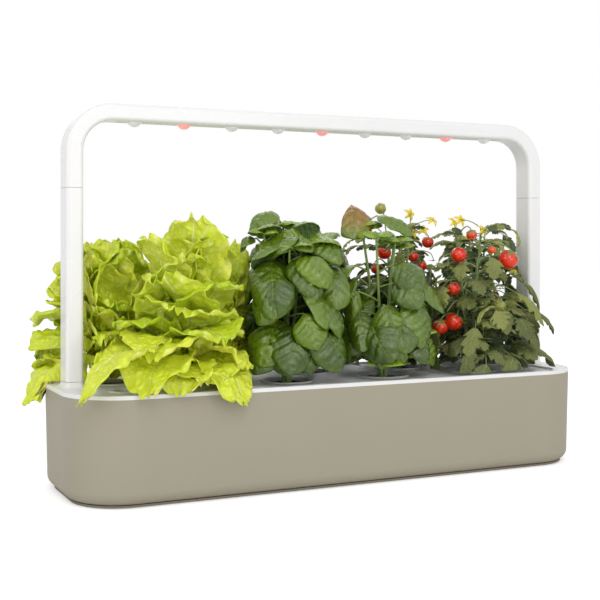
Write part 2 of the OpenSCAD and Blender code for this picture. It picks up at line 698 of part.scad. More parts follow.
// Lettuce: a rosette of spreading outer leaves and upright inner ones, turned by a few degrees, and
// leaves that hang over the rim as [azimuth, reach, tip's angle above the root, width, droop]
module lettuce(i, count, wide, hanging, turn = 0) color(lettuce_green) plant(i, 15) {
    stem(16, 13, 8, 0, 0, 8);
    translate([0, 0, 8]) {
        for (n = [0:count - 1]) let (
            f = n/(count - 1),
            az = 137.5*n + 40*i + turn,
            reach = min(wide, free_reach(i, az, wide) + 10)*(1 - 0.78*f),
            droop = 88 - 54*f,
            l = max(1.06*reach, lettuce_h*(0.66 + 0.34*min(1, 2.4*f) + 0.05*scatter(n, i + 3))))
            rotate(az) lobe(l, lettuce_leaf_w + 14*scatter(n, i + 5) - 10*f, droop/2 + acos(reach/l), droop, 3);
        for (v = hanging) let (l = v[1]/cos(v[2])*v[4]*PI/360/sin(v[4]/2))
            rotate(v[0]) lobe(l, v[3], v[4]/2 + v[2], v[4], 2.5);
    }
}

module lettuce_1() lettuce(0, 12, lettuce_spread, [[170, 92, -18, 46, 140], [135, 66, 10, 60, 110]]);

module lettuce_2() lettuce(1, 10, lettuce_spread, [[205, 112, -7, 46, 130], [-62, 80, -12, 60, 140], [-98, 74, 5, 58, 120],
                                     [-30, 104, 2, 50, 110]]);

module lettuce_3() lettuce(2, 11, lettuce_spread - 8, [[75, 66, 20, 60, 100]], 1.5);

// Basil: an upright stem with whorls of cupped leaves, the widest half way up
module basil(i, levels, wide, turn) color(basil_green) plant(i, 12) {
    stem(basil_h*0.93, 3.4, 1.8, 60*i + turn, 5, 8);
    for (n = [0:levels - 1], side = [0:2]) let (
        f = n/(levels - 1),
        az = 120*side + 55*n + 35*i + turn,
        most = wide*(0.45 + 0.6*sin(150*pow(f, 0.8) + 15)),
        reach = min(most, free_reach(i, az, most) + 6),
        l = max(reach*1.15, 30))
        translate([0, 0, basil_h*(0.1 + 0.84*f) - 8]) rotate(az)
            leaf([0.08, 0.95, 0.85, 0.08], l, basil_leaf_w + 10*scatter(n + 7*side, i), 20 + acos(reach/l), 40);
}

module basil_1() basil(3, 5, basil_spread, 4.5);

module basil_2() basil(4, 5, basil_spread - 4, 1.5);

module basil_3() basil(5, 5, basil_spread, 1.5);

// Tomato: a stem with lobed leaves, and fruit as [x and y from the stem, height above the plug, radius]
module tomato(i, levels, wide, fruit) color(tomato_green) plant(i, 12) {
    stem(tomato_h*0.95, 3, 1.6, 0, 0, 8);
    for (n = [0:levels - 1], side = [0:1]) let (
        f = n/(levels - 1),
        az = 180*side + 76*n + 30*i,
        most = wide*(0.5 + 0.55*sin(150*f + 20)),
        reach = min(most, free_reach(i, az, most) + 4),
        l = max(reach*1.2, 40))
        translate([0, 0, tomato_h*(0.1 + 0.82*f) - 8]) rotate(az)
            leaf([0.06, 0.12, 0.95, 0.35, 0.9, 0.35, 0.06], l, tomato_leaf_w, 26 + acos(reach/l), 52);
    for (v = fruit) let (p = [v[0], v[1], v[2]]) {
        translate(p) sphere(v[3], $fn = 8);
        hull() {
            translate(p + [0, 0, v[3]*0.8]) cube(2, center = true);
            translate([0, 0, min(p[2] + v[3] + 4, tomato_h*0.93)]) cube(2, center = true);
        }
    }
}

module tomato_1() tomato(6, 4, tomato_spread - 4, [[-22, -5, 140, 8.7], [40, -3, 152, 7.4], [30, -5, 123, 6.5],
    [-29, 3, 120, 5.8], [16, -8, 135, 6.9], [-20, 7, 192, 6.9]]);

module tomato_2() tomato(7, 4, tomato_spread, [[-13, -22, 160, 6.3], [-24, -12, 137, 9.2], [8, -32, 143, 4.6], [31, -32, 132, 11.5],
    [-34, -17, 99, 8], [-34, -17, 61, 10.3], [-47, -9, 55, 9.2], [21, -27, 78, 8.6]]);

module tomato_3() tomato(8, 4, tomato_spread - 8, [[-14, 25, 108, 8], [26, 7, 84, 7]]);

// ---- drawing ----

outer_shell();
base_plate();
rubber_feet();
base_screws();
water_tank();
dc_inlet();
dc_inlet_nut();
power_harness();
base_contact_block();
left_extension_arm();
right_extension_arm();
arm_contacts();
arm_wires();
lamp_frame();
light_cover();
led_board();
led_board_screws();
led_chips();
white_lenses();
red_lenses();
driver_board();
lamp_contact();
lamp_wires();
lid();
float_guide();
water_float();
for (i = [0:8]) pod_cup(i);
for (i = [0:8]) growing_plug(i);
lettuce_1();
lettuce_2();
lettuce_3();
basil_1();
basil_2();
basil_3();
tomato_1();
tomato_2();
tomato_3();
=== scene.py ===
import math
import random

import bmesh
import bpy
from mathutils import Matrix, Vector, noise


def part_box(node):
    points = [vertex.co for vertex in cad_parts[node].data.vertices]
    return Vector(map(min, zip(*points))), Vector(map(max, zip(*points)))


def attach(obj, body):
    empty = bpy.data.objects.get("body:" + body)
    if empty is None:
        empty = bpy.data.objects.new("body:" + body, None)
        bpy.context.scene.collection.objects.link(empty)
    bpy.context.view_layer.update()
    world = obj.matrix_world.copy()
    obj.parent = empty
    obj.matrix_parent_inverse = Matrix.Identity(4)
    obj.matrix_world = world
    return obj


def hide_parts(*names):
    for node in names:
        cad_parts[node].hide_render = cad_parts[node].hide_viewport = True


bl_info = {
    "name": "Countertop hydroponic garden",
    "version": (1, 0, 0),
    "blender": (4, 5, 0),
    "location": "3D View > Sidebar > Garden",
    "description": "Gives the packed garden its finishes, grows its nine plants and sets up a white studio",
    "category": "Object",
}

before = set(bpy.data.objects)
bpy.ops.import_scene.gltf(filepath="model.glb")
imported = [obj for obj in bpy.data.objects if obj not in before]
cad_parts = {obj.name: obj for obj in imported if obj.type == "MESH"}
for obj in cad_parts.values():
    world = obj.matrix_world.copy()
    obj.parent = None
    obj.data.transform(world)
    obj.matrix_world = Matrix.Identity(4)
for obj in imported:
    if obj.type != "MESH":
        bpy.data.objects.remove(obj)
MM = 0.001


def middle(node):
    """The middle of a CAD node's box, in millimetres."""
    low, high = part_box(node)
    return (low + high) / 2 / MM


# Where things stand, in millimetres, from the frame
PODS = [middle("pod_cup_%d" % n).to_2d() for n in range(1, 10)]
PLUG_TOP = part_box("growing_plug_1")[1].z / MM
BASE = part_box("outer_shell")[1] / MM
LEG = middle("right_extension_arm")
# The tank's rim stands 4 mm over the shell
RIM = BASE.z + 4
# The rounding of the base's corners, and half a leg's width
CORNER = 61
LEG_HALF = 9


# ---- finishes ----


def linear(code):
    """An sRGB hex colour as linear red, green, blue and alpha."""
    parts = [int(code[k:k + 2], 16) / 255 for k in (1, 3, 5)]
    return tuple(c / 12.92 if c <= 0.04045 else ((c + 0.055) / 1.055) ** 2.4 for c in parts) + (1.0,)


def feed(node, inputs):
    """Sets a node's inputs to numbers or hex colours, or links them to sockets or to nodes' first outputs."""
    for name, value in inputs.items():
        if isinstance(value, str):
            value = linear(value)
        if isinstance(value, bpy.types.Node):
            value = next(output for output in value.outputs if output.enabled)
        if isinstance(value, bpy.types.NodeSocket):
            node.id_data.links.new(value, node.inputs[name])
        else:
            node.inputs[name].default_value = value


def add(tree, kind, inputs=None, **settings):
    """Adds a shader node with its settings, and feeds its inputs."""
    node = tree.nodes.new("ShaderNode" + kind)
    for name, value in settings.items():
        setattr(node, name, value)
    feed(node, inputs or {})
    return node


def start(name, **constants):
    """A new material: itself, its node tree, its shader with the numbers that are the same all over the
    surface, and the place on the object."""
    made = bpy.data.materials.new(name)
    made.use_nodes = True
    tree = made.node_tree
    shader = tree.nodes["Principled BSDF"]
    feed(shader, {key.replace("_", " "): value for key, value in constants.items()})
    return made, tree, shader, add(tree, "TexCoord").outputs["Object"]


def moulded(name, colour, roughness, grain, depth, **constants):
    """Moulded plastic: an even colour with a faint cloud from the moulding, and a grain of that size and depth,
    in millimetres, which keeps its highlights soft."""
    made, tree, shader, place = start(name, **constants)
    cloud = add(tree, "TexNoise", {"Vector": place, "Scale": 1 / (90 * MM), "Detail": 2.0})
    fine = add(tree, "TexNoise", {"Vector": place, "Scale": 1 / (grain * MM), "Detail": 1.0})
    darker, lighter = ([min(1, part * c) for c in colour[:3]] + [1] for part in (0.965, 1.03))
    shade = add(tree, "Mix", {0: cloud, 6: darker, 7: lighter}, data_type="RGBA")
    worn = add(tree, "MapRange", {"Value": cloud, "To Min": roughness - 0.04, "To Max": roughness + 0.05})
    bump = add(tree, "Bump", {"Height": fine, "Strength": 0.6, "Distance": depth * MM})
    feed(shader, {"Base Color": shade, "Roughness": worn, "Normal": bump})
    return made


def zinc_plated_steel():
    """Zinc-plated steel: bright and a little blue, with the fine turning marks of a screw head."""
    made, tree, shader, place = start("zinc_plated_steel", Metallic=1.0)
    marks = add(tree, "TexWave", {
        "Vector": place, "Scale": 1 / (3 * MM), "Distortion": 2.0}, wave_type="RINGS", rings_direction="Z")
    shade = add(tree, "Mix", {0: marks.outputs["Fac"], 6: "#B4B8BC", 7: "#D2D5D8"}, data_type="RGBA")
    rough = add(tree, "MapRange", {"Value": marks.outputs["Fac"], "To Min": 0.24, "To Max": 0.4})
    feed(shader, {"Base Color": shade, "Roughness": rough})
    return made


def circuit_board(name, mask, copper):
    """A printed circuit board: glossy solder mask over copper tracks that show as slightly lighter lines."""
    made, tree, shader, place = start(name, Roughness=0.32)
    tracks = add(tree, "TexBrick", {
        "Vector": place, "Scale": 1 / (9 * MM), "Color1": mask, "Color2": mask,
        "Mortar": copper, "Mortar Size": 0.03}, offset=0.5)
    bump = add(tree, "Bump", {"Height": tracks.outputs["Fac"], "Strength": 0.4, "Distance": 0.05 * MM})
    feed(shader, {"Base Color": tracks.outputs["Color"], "Normal": bump})
    return made


def diffusing_polycarbonate(name, colour, glow, strength):
    """A lens dome of moulded polycarbonate with a pearly inside, which spreads the colour of its light."""
    made, tree, shader, place = start(
        name, Roughness=0.22, IOR=1.585, Transmission_Weight=0.25, Coat_Weight=0.4, Emission_Color=glow,
        Emission_Strength=strength)
    pearl = add(tree, "TexVoronoi", {"Vector": place, "Scale": 1 / (2.2 * MM)})
    shade = add(tree, "Mix", {
        0: pearl, 6: colour, 7: [0.86 * c for c in linear(colour)[:3]] + [1]}, data_type="RGBA")
    bump = add(tree, "Bump", {"Height": pearl, "Strength": 0.3, "Distance": 0.2 * MM})
    feed(shader, {"Base Color": shade, "Normal": bump})
    return made


def led_phosphor():
    """The silicone dot of a white LED, yellow from its phosphor and a little grainy."""
    made, tree, shader, place = start("led_phosphor_silicone", Roughness=0.45)
    grit = add(tree, "TexNoise", {"Vector": place, "Scale": 1 / (0.6 * MM)})
    shade = add(tree, "Mix", {0: grit, 6: "#E2CF62", 7: "#F6ECAE"}, data_type="RGBA")
    feed(shader, {"Base Color": shade})
    return made


def peat_plug():
    """Pressed peat and coir: dark brown crumbs with paler fibres, dull and damp, so almost without shine."""
    made, tree, shader, place = start("pressed_peat", Roughness=0.9, Specular_IOR_Level=0.25)
    crumbs = add(tree, "TexVoronoi", {"Vector": place, "Scale": 1 / (2.6 * MM)})
    fibres = add(tree, "TexNoise", {
        "Vector": add(tree, "Mapping", {"Vector": place, "Scale": (1, 4, 1)}),
        "Scale": 1 / (5 * MM), "Detail": 4.0})
    soil = add(tree, "Mix", {0: crumbs, 6: "#2A1C12", 7: "#5A4230"}, data_type="RGBA")
    mask = add(tree, "MapRange", {"Value": fibres, "From Min": 0.6, "From Max": 0.68, "To Max": 0.7})
    shade = add(tree, "Mix", {0: mask, 6: soil, 7: "#96784F"}, data_type="RGBA")
    bump = add(tree, "Bump", {"Height": crumbs, "Strength": 1.0, "Distance": 1.0 * MM})
    feed(shader, {"Base Color": shade, "Normal": bump})
    return made


def leaf(name, deep, fresh, rib, veins, slant, cell, pucker, rib_width, vein_strength, blush=None, **constants):
    """A living leaf. Its colour runs from deep to fresh with the leaf's own tint and with soft clouds, and the
    middle rib and the side veins, counted along the blade, are paler. Between them the blade swells in cells of
    that size and pucker, in millimetres, and shade is painted into the hollows between the cells, which are
    darker."""
    made, tree, shader, place = start(name, **constants)
    across_along = add(tree, "SeparateXYZ", {0: add(tree, "UVMap", uv_map="blade")})
    centred = add(tree, "Math", {0: across_along.outputs[0], 1: 0.5}, operation="SUBTRACT")
    side = add(tree, "Math", {0: centred}, operation="ABSOLUTE")
    along = across_along.outputs[1]
    taper = add(tree, "MapRange", {"Value": along, "To Min": rib_width / 2, "To Max": rib_width / 7})
    middle_rib = add(tree, "MapRange", {
        "Value": side, "From Min": 0.0, "From Max": taper, "To Min": 1.0, "To Max": 0.0},
        interpolation_type="SMOOTHSTEP")
    forward = add(tree, "Math", {
        0: along, 1: float(veins), 2: add(tree, "Math", {
            0: side, 1: -2.0 * slant}, operation="MULTIPLY")}, operation="MULTIPLY_ADD")
    comb = add(tree, "Math", {0: forward, 1: 0.5}, operation="PINGPONG")
    side_veins = add(tree, "MapRange", {
        "Value": comb, "From Min": 0.0, "From Max": 0.11, "To Min": vein_strength, "To Max": 0.0},
        interpolation_type="SMOOTHSTEP")
    both = add(tree, "Math", {0: middle_rib, 1: side_veins}, operation="MAXIMUM")
    net = add(tree, "TexVoronoi", {"Vector": place, "Scale": 1 / (cell * MM)}, feature="DISTANCE_TO_EDGE")
    swell = add(tree, "MapRange", {
        "Value": net, "From Min": 0.0, "From Max": 0.45}, interpolation_type="SMOOTHSTEP")
    cloud = add(tree, "TexNoise", {"Vector": place, "Scale": 1 / (24 * MM), "Detail": 3.0})
    tint = add(tree, "Attribute", attribute_name="tint").outputs["Fac"]
    mixed = add(tree, "Math", {0: cloud, 1: 0.5, 2: -0.25}, operation="MULTIPLY_ADD")
    fresher = add(tree, "Math", {0: tint, 1: mixed}, operation="ADD", use_clamp=True)
    blade = add(tree, "Mix", {0: fresher, 6: deep, 7: fresh}, data_type="RGBA")
    if blush:
        # Old leaves turn brown in clouds, from the root
        age = add(tree, "Attribute", attribute_name="blush").outputs["Fac"]
        patch = add(tree, "Math", {0: age, 1: cloud}, operation="MULTIPLY", use_clamp=True)
        blade = add(tree, "Mix", {0: patch, 6: blade, 7: blush}, data_type="RGBA")
    # Painted shade: the blade's colour is darkened by up to 14% in the hollows between the swelling cells
    hollow_painted_shade = add(tree, "MapRange", {"Value": swell, "To Min": 0.86, "To Max": 1.0})
    blade = add(tree, "VectorMath", {0: blade, "Scale": hollow_painted_shade}, operation="SCALE")
    shade = add(tree, "Mix", {0: both, 6: blade, 7: rib}, data_type="RGBA")
    height = add(tree, "Math", {0: swell, 1: both}, operation="SUBTRACT")
    bump = add(tree, "Bump", {"Height": height, "Strength": 0.8, "Distance": pucker * MM})
    feed(shader, {"Base Color": shade, "Normal": bump})
    return made


def stalk(name, low, high, **constants):
    """A living stem: pale, streaked lengthways and slightly shiny."""
    made, tree, shader, place = start(name, **constants)
    streaks = add(tree, "TexNoise", {
        "Vector": add(tree, "Mapping", {"Vector": place, "Scale": (1, 1, 0.2)}),
        "Scale": 1 / (3 * MM), "Detail": 3.0})
    shade = add(tree, "Mix", {0: streaks, 6: low, 7: high}, data_type="RGBA")
    bump = add(tree, "Bump", {"Height": streaks, "Strength": 0.5, "Distance": 0.3 * MM})
    feed(shader, {"Base Color": shade, "Normal": bump})
    return made


def tomato_skin():
    """Cherry tomato skin: waxy and wet-looking, from green over orange to full red, with paler flecks."""
    made, tree, shader, place = start(
        "tomato_skin", Roughness=0.16, Coat_Weight=0.5, Coat_Roughness=0.08, Subsurface_Weight=0.12,
        Subsurface_Scale=1.5 * MM, Subsurface_Radius=(1.0, 0.3, 0.15))
    flecks = add(tree, "TexNoise", {"Vector": place, "Scale": 1 / (5 * MM), "Detail": 3.0})
    ripe = add(tree, "Attribute", attribute_name="tint").outputs["Fac"]
    stage = add(tree, "Math", {0: flecks, 1: 0.2, 2: -0.1}, operation="MULTIPLY_ADD")
    ripeness = add(tree, "Math", {0: ripe, 1: stage}, operation="ADD", use_clamp=True)
    ramp = add(tree, "ValToRGB", {0: ripeness})
    stops = ramp.color_ramp.elements
    stops[0].color, stops[1].color = linear("#8FA545"), linear("#E62C06")
    for position, code in ((0.35, "#DE8A2A"), (0.62, "#EA4A14")):
        stops.new(position).color = linear(code)
    feed(shader, {"Base Color": ramp})
    return made


def petal():
    """A thin yellow petal, brighter towards its tip and a little see-through."""
    made, tree, shader, _ = start(
        "tomato_petal", Roughness=0.5, Subsurface_Weight=0.3, Subsurface_Scale=1.0 * MM)
    along = add(tree, "SeparateXYZ", {0: add(tree, "UVMap", uv_map="blade")})
    shade = add(tree, "Mix", {0: along.outputs[1], 6: "#F0CC1A", 7: "#FFF06A"}, data_type="RGBA")
    feed(shader, {"Base Color": shade})
    return made


def object_of(name, bm, *finishes):
    """Makes an object of a mesh, with its finishes, and puts it in the scene."""
    mesh = bpy.data.meshes.new(name)
    bm.to_mesh(mesh)
    bm.free()
    for finish in finishes:
        mesh.materials.append(finish)
    made = bpy.data.objects.new(name, mesh)
    bpy.context.scene.collection.objects.link(made)
    return made


def dress(node, finish):
    """Gives a CAD node its finish, and leaves its mesh alone."""
    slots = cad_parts[node].data.materials
    slots.clear()
    slots.append(finish)


# ---- plant making ----

# The turn from one leaf to the next on a stem, in degrees, and from one petal to the next, in radians
GOLDEN_ANGLE = 137.5
FIFTH_TURN = 1.257

# The space that a plant may fill, in millimetres. Pods nearer than this are neighbours, whose leaves keep a gap
NEIGHBOUR = 150
GAP = 2.4
# Leaves keep this far from a lamp's leg, and lie this high over the rim, but not within the hole for the stems
LEG_GAP = 9
LIE = 2.5
STEM_HOLE = 13
# Basils and tomatoes spread this far where no neighbour stands
SPRAWL = 74
# How far leaves reach to the left and right, to the front and back, and to both for the tomatoes
OUTERMOST = (338, 308)
FOREMOST = 118
REARMOST = 112
TOMATO_DEPTH = 90
# Leaves of basil and tomato hang no further than this below the rim
BELOW_RIM = 8
# Cells along and across a blade
LETTUCE_GRID = (56, 22)
BASIL_GRID = (34, 14)
SHOOT_GRID = (16, 10)
LEAFLET_GRID = (25, 6)


def spine(length, rise, droop, t):
    """A point on a leaf's middle line at a fraction of its length: distance from its root, and height."""
    radius = length / droop
    return (radius * (math.sin(rise) - math.sin(rise - droop * t)),
            radius * (math.cos(rise - droop * t) - math.cos(rise)))


def raised(length, rise, droop, t, across, height):
    """A point of a leaf: beside its middle line, and that high above it, square to the blade."""
    x, z = spine(length, rise, droop, t)
    a = rise - droop * t
    return Vector((x - math.sin(a) * height, across, z + math.cos(a) * height))


def step(low, high, value):
    """A smooth step from 0 at low to 1 at high."""
    x = min(1, max(0, (value - low) / (high - low)))
    return x * x * (3 - 2 * x)


def free_reach(pod, turn, most):
    """How far a plant may spread in one direction before it meets its neighbours."""
    way = Vector((math.cos(turn), math.sin(turn)))
    for other, place in enumerate(PODS):
        gap = place - PODS[pod]
        if other != pod and gap.dot(way) > 1:
            most = min(most, gap.length_squared / (2 * gap.dot(way)))
    return most


def held(value, limit, soft=8):
    """A number that comes up to its limit softly and never passes it."""
    return value if value < limit - soft else limit - soft * math.exp(-(value - limit + soft) / soft)


def keep_in_space(point, pod):
    """Bends a point of a plant back into its own space: between its neighbours, above the base and clear of the
    lamp's legs."""
    home = PODS[pod]
    flat = point.to_2d() - home
    for _ in range(2):
        for other, place in enumerate(PODS):
            way = place - home
            if other == pod or way.length > NEIGHBOUR:
                continue
            far = way.length / 2 - GAP / 2
            way.normalize()
            flat += way * (held(flat.dot(way), far) - flat.dot(way))
    x, y, z = home.x + flat.x, home.y + flat.y, point.z
    # Past the lamp's legs there is room behind them, and for the lettuces also in front of them, low down
    past = max(step(22, 48, y), step(-28, -56, y) * step(75, 35, z - RIM) * (pod < 3))
    near = LEG.x - LEG_HALF - LEG_GAP
    x = math.copysign(held(abs(x), near + (OUTERMOST[0 if x < 0 else 1] - near) * past), x)
    y = math.copysign(held(abs(y), TOMATO_DEPTH if pod > 5 else FOREMOST if y < 0 else REARMOST), y)
    if pod > 2:
        # Only the lettuces are limp enough to hang down over the shell
        z = -held(-z, BELOW_RIM - RIM)
    corner = Vector((max(0, abs(x) - BASE.x + CORNER), max(0, abs(y) - BASE.y + CORNER)))
    if z < RIM + LIE and corner.length < CORNER + LIE and flat.length > STEM_HOLE:
        z = RIM + LIE
    return Vector((x, y, z))


def new_plant_mesh():
    """An empty mesh for leaves, with the map and the attributes that the leaf finishes read."""
    bm = bmesh.new()
    bm.loops.layers.uv.new("blade")
    bm.verts.layers.float.new("tint")
    bm.verts.layers.float.new("blush")
    return bm


def lay_blade(bm, grid, surface, pod, tint, blush=0.0):
    """Adds a grid, whose cells are counted along and across, and lays it on a leaf's surface, which gives a
    point, in millimetres, for a place along and across it."""
    uv, shade, mark = bm.loops.layers.uv["blade"], bm.verts.layers.float["tint"], bm.verts.layers.float["blush"]
    made = bmesh.ops.create_grid(bm, x_segments=grid[1], y_segments=grid[0], size=1)["verts"]
    for face in {f for v in made for f in v.link_faces}:
        face.smooth = True
        for loop in face.loops:
            loop[uv].uv = ((loop.vert.co.x + 1) / 2, (loop.vert.co.y + 1) / 2)
    for v in made:
        v[shade], v[mark] = tint, blush * (0.5 - v.co.y / 2)
        # The grid's upper side has to be the leaf's upper side, which asks for the mirrored place across
        point = surface((v.co.y + 1) / 2, -v.co.x)
        v.co = (keep_in_space(point, pod) if pod is not None else point) * MM


def turned(surface, place, turn, roll=0.0, bend=0.0):
    """A leaf's surface set down at a place, turned about the upright and rolled about its own middle line."""
    matrix = Matrix.Translation(place) @ Matrix.Rotation(turn, 4, "Z") @ Matrix.Rotation(roll, 4, "X")

    def moved(t, u):
        point = surface(t, u)
        point.y += bend * t * t
        return matrix @ point
    return moved


def finish_plant(name, bm, finishes, pod, thickness=0.45):
    """Makes an object of a plant's mesh, gives its blades their thickness and lets it ride on its pod."""
    made = object_of(name, bm, *finishes)
    if thickness:
        wall = made.modifiers.new("blade thickness", "SOLIDIFY")
        wall.thickness, wall.offset = thickness * MM, -1.0
        wall.material_offset = len(finishes) - 1
    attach(made, "pod_%d" % (pod + 1))
    return made


def tubes(name, runs, finish, pod):
    """Makes a plant's stems: each run is a list of places and radii, in millimetres, along one tube."""
    curve = bpy.data.curves.new(name, "CURVE")
    curve.dimensions, curve.bevel_depth, curve.bevel_resolution, curve.use_fill_caps = "3D", MM, 1, True
    for run in runs:
        line = curve.splines.new("NURBS")
        line.points.add(len(run) - 1)
        line.order_u, line.use_endpoint_u, line.resolution_u = min(3, len(run)), True, 3
        for knot, (place, radius) in zip(line.points, run):
            knot.co, knot.radius = (*(Vector(place) * MM), 1), radius
    form = bpy.data.objects.new(name, curve)
    mesh = bpy.data.meshes.new_from_object(form)
    bm = bmesh.new()
    bm.from_mesh(mesh)
    for face in bm.faces:
        face.smooth = True
    bpy.data.objects.remove(form)
    bpy.data.curves.remove(curve)
    bpy.data.meshes.remove(mesh)
    finish_plant(name, bm, [finish], pod, 0)


# ---- lettuce ----


def lettuce_surface(length, width, rise, droop, frill, seed):
    """A loose lettuce leaf: a fan with a round, ruffled edge, a thick rib below and a blistered blade."""
    one, two = 9 * noise.noise(Vector((seed, 1.5, 0))), 9 * noise.noise(Vector((seed, 4.5, 0)))

    def surface(t, u):
        end = max(0, (t - 0.7) / 0.3)
        share = 0.2 + 0.8 * math.sin(math.pi / 2 * min(1, t / 0.7)) ** 1.2
        around = math.atan2(u * width / 2, (t - 0.3) * length)
        edge = min(1, (abs(u) ** 4 + end ** 4) ** 0.25)
        tooth = 1 + 0.07 * edge * math.sin(33 * around + two)
        half = width / 2 * share * math.sqrt(1 - 0.86 * end * end) * tooth
        s = t * (1 - 0.04 * u * u * end + 0.02 * edge * math.sin(27 * around + one))
        here = Vector((s * length, u * half, seed * 50))
        crinkle = math.sin(21 * around + two + 4 * noise.noise(here / 25))
        wave = 0.45 * math.sin(6 * around + one) + 0.55 * crinkle
        height = 0.12 * half * u * u + frill * edge ** 2.6 * wave * step(0.1, 0.45, t)
        blisters = 5 * noise.noise(here / 38) + 4.2 * noise.noise(here / 15) + 2.0 * noise.noise(here / 8)
        height += blisters * step(0.08, 0.4, t)
        height -= 1.8 * math.exp(-(u / 0.1) ** 2) * (1 - 0.6 * t)
        return raised(length, rise, droop, s, u * half, height)
    return surface


# Leaves that hang over the rim, as azimuth, reach, the tip's angle above the root, width and droop
HANGING = [
    [(173, 86, -16, 62, 140), (140, 74, 0, 74, 115), (-160, 66, 12, 70, 110)],
    [(205, 136, -4, 96, 134), (230, 96, -3, 68, 138), (-112, 76, -3, 68, 130), (-86, 74, 3, 76, 120),
     (-62, 82, -12, 74, 140), (-32, 66, -4, 70, 110), (-8, 58, 6, 66, 110)],
    [(75, 66, 20, 72, 100), (20, 46, 5, 64, 110), (110, 70, 2, 70, 120)]]
# How far each lettuce spreads, and its height as a share of the set one
SPREAD = [92, 92, 80]
STATURE = [0.96, 1.05, 0.92]
# A lettuce's leaves spring from this high over its plug
CROWN = 8


def grow_lettuce(pod, size):
    """Makes one lettuce: leaves that rise from the root and arch over, so that their tips lie on a dome, from
    low outer ones to upright inner ones, and those that hang over the rim."""
    bm = new_plant_mesh()
    root = Vector((PODS[pod].x, PODS[pod].y, PLUG_TOP + CROWN))
    rng = random.Random(7 + pod)
    tall = size.height / MM * STATURE[pod] - CROWN
    for n in range(size.leaves):
        f = n / (size.leaves - 1)
        turn = math.radians(GOLDEN_ANGLE * n + 40 * pod)
        wide = min(SPREAD[pod], free_reach(pod, turn, SPREAD[pod]) + 4)
        up = math.radians(2 + 84 * f ** 0.85)
        chord = 1 / math.hypot(math.cos(up) / wide, math.sin(up) / tall) * rng.uniform(0.9, 1.03)
        droop = math.radians(145 - 85 * f + rng.uniform(-12, 12))
        length = chord * droop / 2 / math.sin(droop / 2)
        width = (size.leaf_width / MM + rng.uniform(-9, 9)) * (1 - 0.15 * f)
        frill = size.frill / MM * rng.uniform(0.85, 1.2)
        form = lettuce_surface(length, width, up + droop / 2, droop, frill, n * 3.7 + pod)
        laid = turned(form, root, turn + rng.uniform(-0.12, 0.12), rng.uniform(-0.2, 0.2), rng.uniform(-9, 9))
        lay_blade(bm, LETTUCE_GRID, laid, pod, rng.uniform(0.2, 0.85))
    for k, (turn, reach, tip, width, droop) in enumerate(HANGING[pod]):
        droop, tip = math.radians(droop), math.radians(tip)
        length = reach / math.cos(tip) * droop / 2 / math.sin(droop / 2)
        frill = size.frill / MM * 0.85
        form = lettuce_surface(length, width, droop / 2 + tip, droop, frill, 60 + 5.1 * k + pod)
        lay_blade(bm, LETTUCE_GRID, turned(form, root, math.radians(turn)), pod, 0.75)
    return bm


# Fruit as x, y, height above the table, radius and ripeness
FRUIT = [
    [(96, 28, 246, 8.7, 1), (158, 30, 258, 7.4, 1), (148, 28, 229, 6.5, 0.95), (89, 36, 226, 5.8, 0.9),
     (134, 25, 241, 6.9, 1), (98, 40, 298, 6.9, 0.05)],
    [(164, -55, 266, 6.3, 1), (153, -45, 243, 9.2, 1), (185, -65, 249, 4.6, 0.6), (208, -65, 238, 11.5, 1),
     (143, -50, 205, 8, 1), (143, -50, 167, 10.3, 1), (130, -42, 161, 9.2, 1), (198, -60, 184, 8.6, 0.05)],
    [(222, 58, 214, 8, 0.7), (262, 40, 190, 7, 0.9)]]


def hides_fruit(point, margin):
    """Whether a leaf there would hide a tomato from the front, where growers trim them away."""
    front = Vector((-0.44, -0.88, 0.1))
    for x, y, z, radius, _ in [one for plant in FRUIT for one in plant]:
        away = point - Vector((x, y, z))
        along = away.dot(front)
        if along > -4 and (away - front * along).length < radius + margin:
            return True
    return False


# ---- basil ----


def basil_surface(length, width, rise, droop, seed):
    """A basil leaf: a pointed oval that bulges upwards, puckered between its side veins and grooved along the
    middle."""
    swell = 4.2 * min(1.2, length / 55)

    def surface(t, u):
        share = max(0.06, (1 - abs(2 * t ** 0.82 - 1) ** 2.3) ** 0.55)
        half = width / 2 * share
        s = t + 0.04 * abs(u) * math.sin(math.pi * t)
        drift = 0.2 * noise.noise(Vector((t * 3, u, seed)))
        vein = abs(math.sin(math.pi * (5.5 * t - 1.4 * abs(u) ** 0.8 + drift)))
        here = Vector((t * length, u * half, seed * 40))
        height = -0.5 * half * abs(u) ** 1.9
        height += swell * (vein ** 0.55 - 0.5) * (1 - u ** 4) * math.sin(math.pi * t)
        height += 1.8 * noise.noise(here / 15) + 0.8 * noise.noise(here / 6) + 2.5 * u * noise.noise(here / 30)
        height -= 2.0 * math.exp(-(u / 0.11) ** 2) * math.sin(math.pi * t) ** 0.5
        return raised(length, rise, droop, s, u * half, height)
    return surface


# Leaves that stand out on the front of the basils: foot as x, y, z, then azimuth, rise, droop, length, width,
# tint and blush
FRONT_LEAVES = {
    3: [((-88, -58, 228), -112, -18, 72, 66, 50, 0.3, 0), ((-58, -52, 240), -82, -2, 92, 66, 42, 0.2, 0),
        ((-14, -50, 233), -106, -12, 78, 66, 42, 0.35, 0), ((-64, -8, 290), -158, 14, 92, 46, 42, 0.5, 0),
        ((-48, -26, 272), -146, 4, 76, 56, 44, 0.7, 0), ((-88, -16, 262), 178, 20, 88, 42, 32, 0.4, 0),
        ((-26, -34, 262), -72, 8, 90, 54, 42, 0.45, 0)],
    5: [((34, -6, 300), -114, -20, 60, 54, 46, 0.5, 1.8), ((62, -16, 288), -44, 6, 72, 52, 38, 0.45, 0),
        ((20, -50, 182), -110, -24, 62, 54, 44, 0.25, 0), ((84, -50, 222), -84, -10, 74, 50, 38, 0.3, 0)]}
# Young shoots on the front of the basils, as x, y, z
SHOOTS = {3: [(-46, -72, 150), (-36, -66, 166)], 5: [(44, -72, 124), (66, -66, 132), (84, -62, 156)]}


